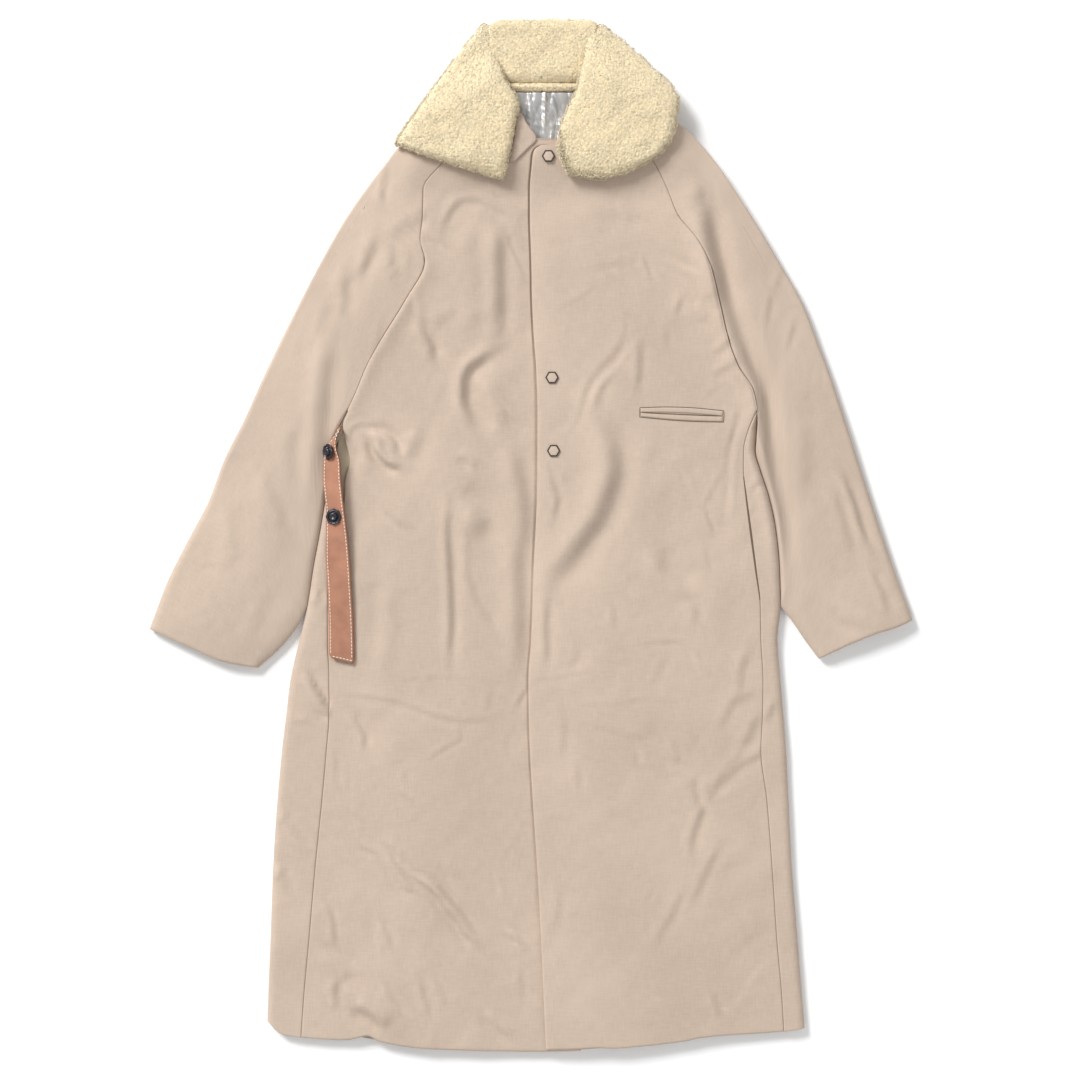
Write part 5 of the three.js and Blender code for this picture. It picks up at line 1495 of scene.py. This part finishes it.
class COAT_OT_strap(bpy.types.Operator):
    """Build the leather strap, its saddle stitch and its two snap studs"""

    bl_idname = "coat.strap"
    bl_label = "Build Strap"

    def execute(self, context):
        top_end, low_end = STRAP["y"][0], STRAP["y"][-1]
        u, v = np.meshgrid(np.linspace(0, 1, 17), np.linspace(top_end, low_end, 120))
        across = np.minimum(u, 1 - u) * STRAP_WIDE
        down = np.minimum(v - low_end, 60)
        soft = 0.5 * np.maximum(rounded(across, 1.4), rounded(down, 1.4))
        shape = Shape()
        for shift, low, high in STRAP_LAYERS:
            base = strap_surface(u, v)
            base[..., 0] += shift
            top, bottom = base.copy(), base.copy()
            top[..., 2] += high - soft
            bottom[..., 2] += low + 0.6 * soft
            shape.wall(top, bottom)
        make_piece("leather_strap", shape, finish("leather"), ["strap"])
        self.stitches(context.scene.coat_sizes.stitch_pitch / MM, top_end, low_end)
        self.studs()
        return {"FINISHED"}

    def stitches(self, pitch, top_end, low_end):
        """Saddle stitches: capsules end to end down both edges, 2 mm in, and across the lower end.

        Each is six-sided: its rings lie along its axis at set shares, with set radii.
        """
        down = np.arange(top_end - 3, low_end + 6, -pitch)
        ends = np.arange(0.12, 0.86, pitch / STRAP_WIDE)
        edges = np.repeat([0.08, 0.92], len(down))
        bottom = np.full_like(ends, low_end + 3.2)
        first = strap_surface(np.concatenate([edges, ends]), np.concatenate([down, down, bottom]))
        down = down - STITCH_FILL * pitch
        last = strap_surface(np.concatenate([edges, ends + STITCH_FILL * pitch / STRAP_WIDE]),
                             np.concatenate([down, down, bottom]))
        for end in (first, last):
            end[:, 2] += STRAP_THICK + 0.1
        axis = last - first
        length = np.linalg.norm(axis, axis=1, keepdims=True)
        axis /= length
        side = np.cross(axis, [0, 0, 1.0])
        side /= np.linalg.norm(side, axis=1, keepdims=True)
        up = np.cross(side, axis)
        rings = []
        for share, radius in zip(STITCH_SHARES, STITCH_RADII):
            middle = first + axis * length * share
            for angle in 2 * math.pi * np.arange(6) / 6:
                rings.append(middle + radius * (math.cos(angle) * side + math.sin(angle) * up))
        points = np.stack(rings, axis=1)
        faces = np.concatenate([ring_faces(len(STITCH_SHARES), 6), end_faces(len(STITCH_SHARES), 6)])
        base = points.shape[1] * np.arange(len(points))[:, None, None]
        shape = Shape().add(points, (faces + base).reshape(-1, 4))
        make_piece("strap_saddle_stitch", shape, finish("thread"))

    def studs(self):
        """Two snap studs: a profile turned about one axis, its outer part in eight lobes."""
        share = np.array(STUD_PROFILE["share"])[:, None]
        angle = np.linspace(0, 2 * math.pi, 72, endpoint=False)[None, :]
        lobes = 1 + 0.05 * np.cos(8 * angle) * smoothstep(0.7, 1.0, share)
        r = np.maximum(STUD_RADIUS * share * lobes, 0.02)
        x, y = r * np.cos(angle), r * np.sin(angle)
        z = np.array(STUD_PROFILE["height"])[:, None] + STRAP_THICK + 0.4 + 0 * x
        faces = np.concatenate([ring_faces(*x.shape), end_faces(*x.shape)])
        for name, (place, across, tilt) in STUDS.items():
            centre = strap_surface(np.array(across), np.array(place))
            turned_x = x * math.cos(tilt) - z * math.sin(tilt)
            turned_z = x * math.sin(tilt) + z * math.cos(tilt)
            points = np.dstack([turned_x + centre[0], y + centre[1], turned_z + centre[2]])
            make_piece("stud_" + name, Shape().add(points, faces), finish("black"),
                       ["strap_snap_" + name])


def hexagon_rings(radii, heights):
    """Rings of a hexagon with bevelled edges, by radius across the corners and height."""
    angle = np.arange(6)[None, :] * math.pi / 3
    r = np.asarray(radii)[:, None]
    z = np.asarray(heights)[:, None] + 0 * angle
    return np.dstack([r * np.cos(angle), r * np.sin(angle), z])


class COAT_OT_snaps(bpy.types.Operator):
    """Build the hexagonal snaps of the placket: a dark rim round a beige cap"""

    bl_idname = "coat.snaps"
    bl_label = "Build Snaps"

    def execute(self, context):
        reach = SNAP_ACROSS / 2
        inner = reach - SNAP_RIM
        cap = inner - 0.25
        ring = hexagon_rings([inner, inner, inner + 0.25, reach - 0.35, reach, reach, inner],
                             [0, 1.2, 1.5, 1.5, 1.1, 0, 0])
        face = hexagon_rings([cap, cap, cap - 0.4, 0.5 * cap, 0.02], [0, 0.9, 1.2, 1.4, 1.45])
        ring_quads = ring_faces(len(ring), 6)
        face_quads = np.concatenate([ring_faces(len(face), 6), end_faces(len(face), 6)])
        for i, (x, y) in enumerate(SNAP_PLACES, 1):
            spot_x, spot_y = np.meshgrid([x - reach, x, x + reach], [y - reach, y, y + reach])
            place = [x, y, front_left_top(spot_x, spot_y).max() + 0.2]
            rim = make_piece(f"snap_{i}_rim", Shape().add(ring + place, ring_quads), finish("rim"),
                             [f"snap_{i}_ring"], smooth=False)
            # The rim's first and last ring lie on each other
            rim.modifiers.new("weld", "WELD").merge_threshold = 1e-6
            make_piece(f"snap_{i}_face", Shape().add(face + place, face_quads), finish("cap"),
                       [f"snap_{i}_cap"], smooth=False)
        return {"FINISHED"}


class COAT_OT_stage(bpy.types.Operator):
    """Build the pale floor, the soft lights and the camera straight above"""

    bl_idname = "coat.stage"
    bl_label = "Build Stage"

    def execute(self, context):
        scene = context.scene
        mesh = bpy.data.meshes.new("floor")
        corners = ((-1, -1), (1, -1), (1, 1), (-1, 1))
        mesh.from_pydata([(a * FLOOR_REACH, b * FLOOR_REACH, FLOOR_LEVEL) for a, b in corners], [],
                         [(0, 1, 2, 3)])
        # Matt white paper: it takes the soft shadows and no reflection
        mesh.materials.append(new_material("pale_floor", linear("#fbfbfb"), 0.9))
        floor = bpy.data.objects.new("floor", mesh)
        scene.collection.objects.link(floor)
        scene.view_settings.view_transform = "Standard"
        world = bpy.data.worlds.new("studio")
        world.use_nodes = True
        sky = world.node_tree.nodes["Background"].inputs
        sky["Color"].default_value = (1, 1, 1, 1)
        sky["Strength"].default_value = SKY_STRENGTH
        scene.world = world
        for name, ((x, y, z), size, power) in LIGHTS.items():
            light = bpy.data.lights.new(name, "AREA")
            light.size = size
            light.energy = power
            lamp = bpy.data.objects.new(name, light)
            lamp.location = x, y, z
            # Turned to face the origin
            lamp.rotation_euler = (math.atan2(math.hypot(x, y), z), 0, math.atan2(x, -y))
            scene.collection.objects.link(lamp)
        lens = bpy.data.cameras.new("above")
        lens.lens = 85
        lens.sensor_width = 36
        camera = bpy.data.objects.new("above", lens)
        camera.location = (*VIEW_CENTRE, VIEW_WIDTH * lens.lens / lens.sensor_width + VIEW_LEVEL)
        scene.collection.objects.link(camera)
        scene.camera = camera
        return {"FINISHED"}


OPERATORS = (COAT_OT_field, COAT_OT_body, COAT_OT_sleeves, COAT_OT_collar, COAT_OT_neck, COAT_OT_pockets,
             COAT_OT_strap, COAT_OT_snaps, COAT_OT_stage)


class COAT_PT_panel(bpy.types.Panel):
    """Sidebar panel that lists the coat's settings and steps"""

    bl_idname = "COAT_PT_panel"
    bl_label = "Long Wool Coat"
    bl_space_type = "VIEW_3D"
    bl_region_type = "UI"
    bl_category = "Coat"

    def draw(self, context):
        for group in (context.scene.coat_sizes, context.scene.coat_looks):
            for name in group.bl_rna.properties.keys():
                if name not in ("rna_type", "name"):
                    self.layout.prop(group, name)
        for operator in OPERATORS:
            self.layout.operator(operator.bl_idname)


CLASSES = (CoatSizes, CoatLooks) + OPERATORS + (COAT_PT_panel,)


def register():
    for cls in CLASSES:
        bpy.utils.register_class(cls)
    bpy.types.Scene.coat_sizes = bpy.props.PointerProperty(type=CoatSizes)
    bpy.types.Scene.coat_looks = bpy.props.PointerProperty(type=CoatLooks)


def unregister():
    del bpy.types.Scene.coat_looks
    del bpy.types.Scene.coat_sizes
    for cls in reversed(CLASSES):
        bpy.utils.unregister_class(cls)


def main():
    """Builds the coat step by step."""
    register()
    for operator in OPERATORS:
        group, name = operator.bl_idname.split(".")
        getattr(getattr(bpy.ops, group), name)()


if __name__ == "__main__":
    main()
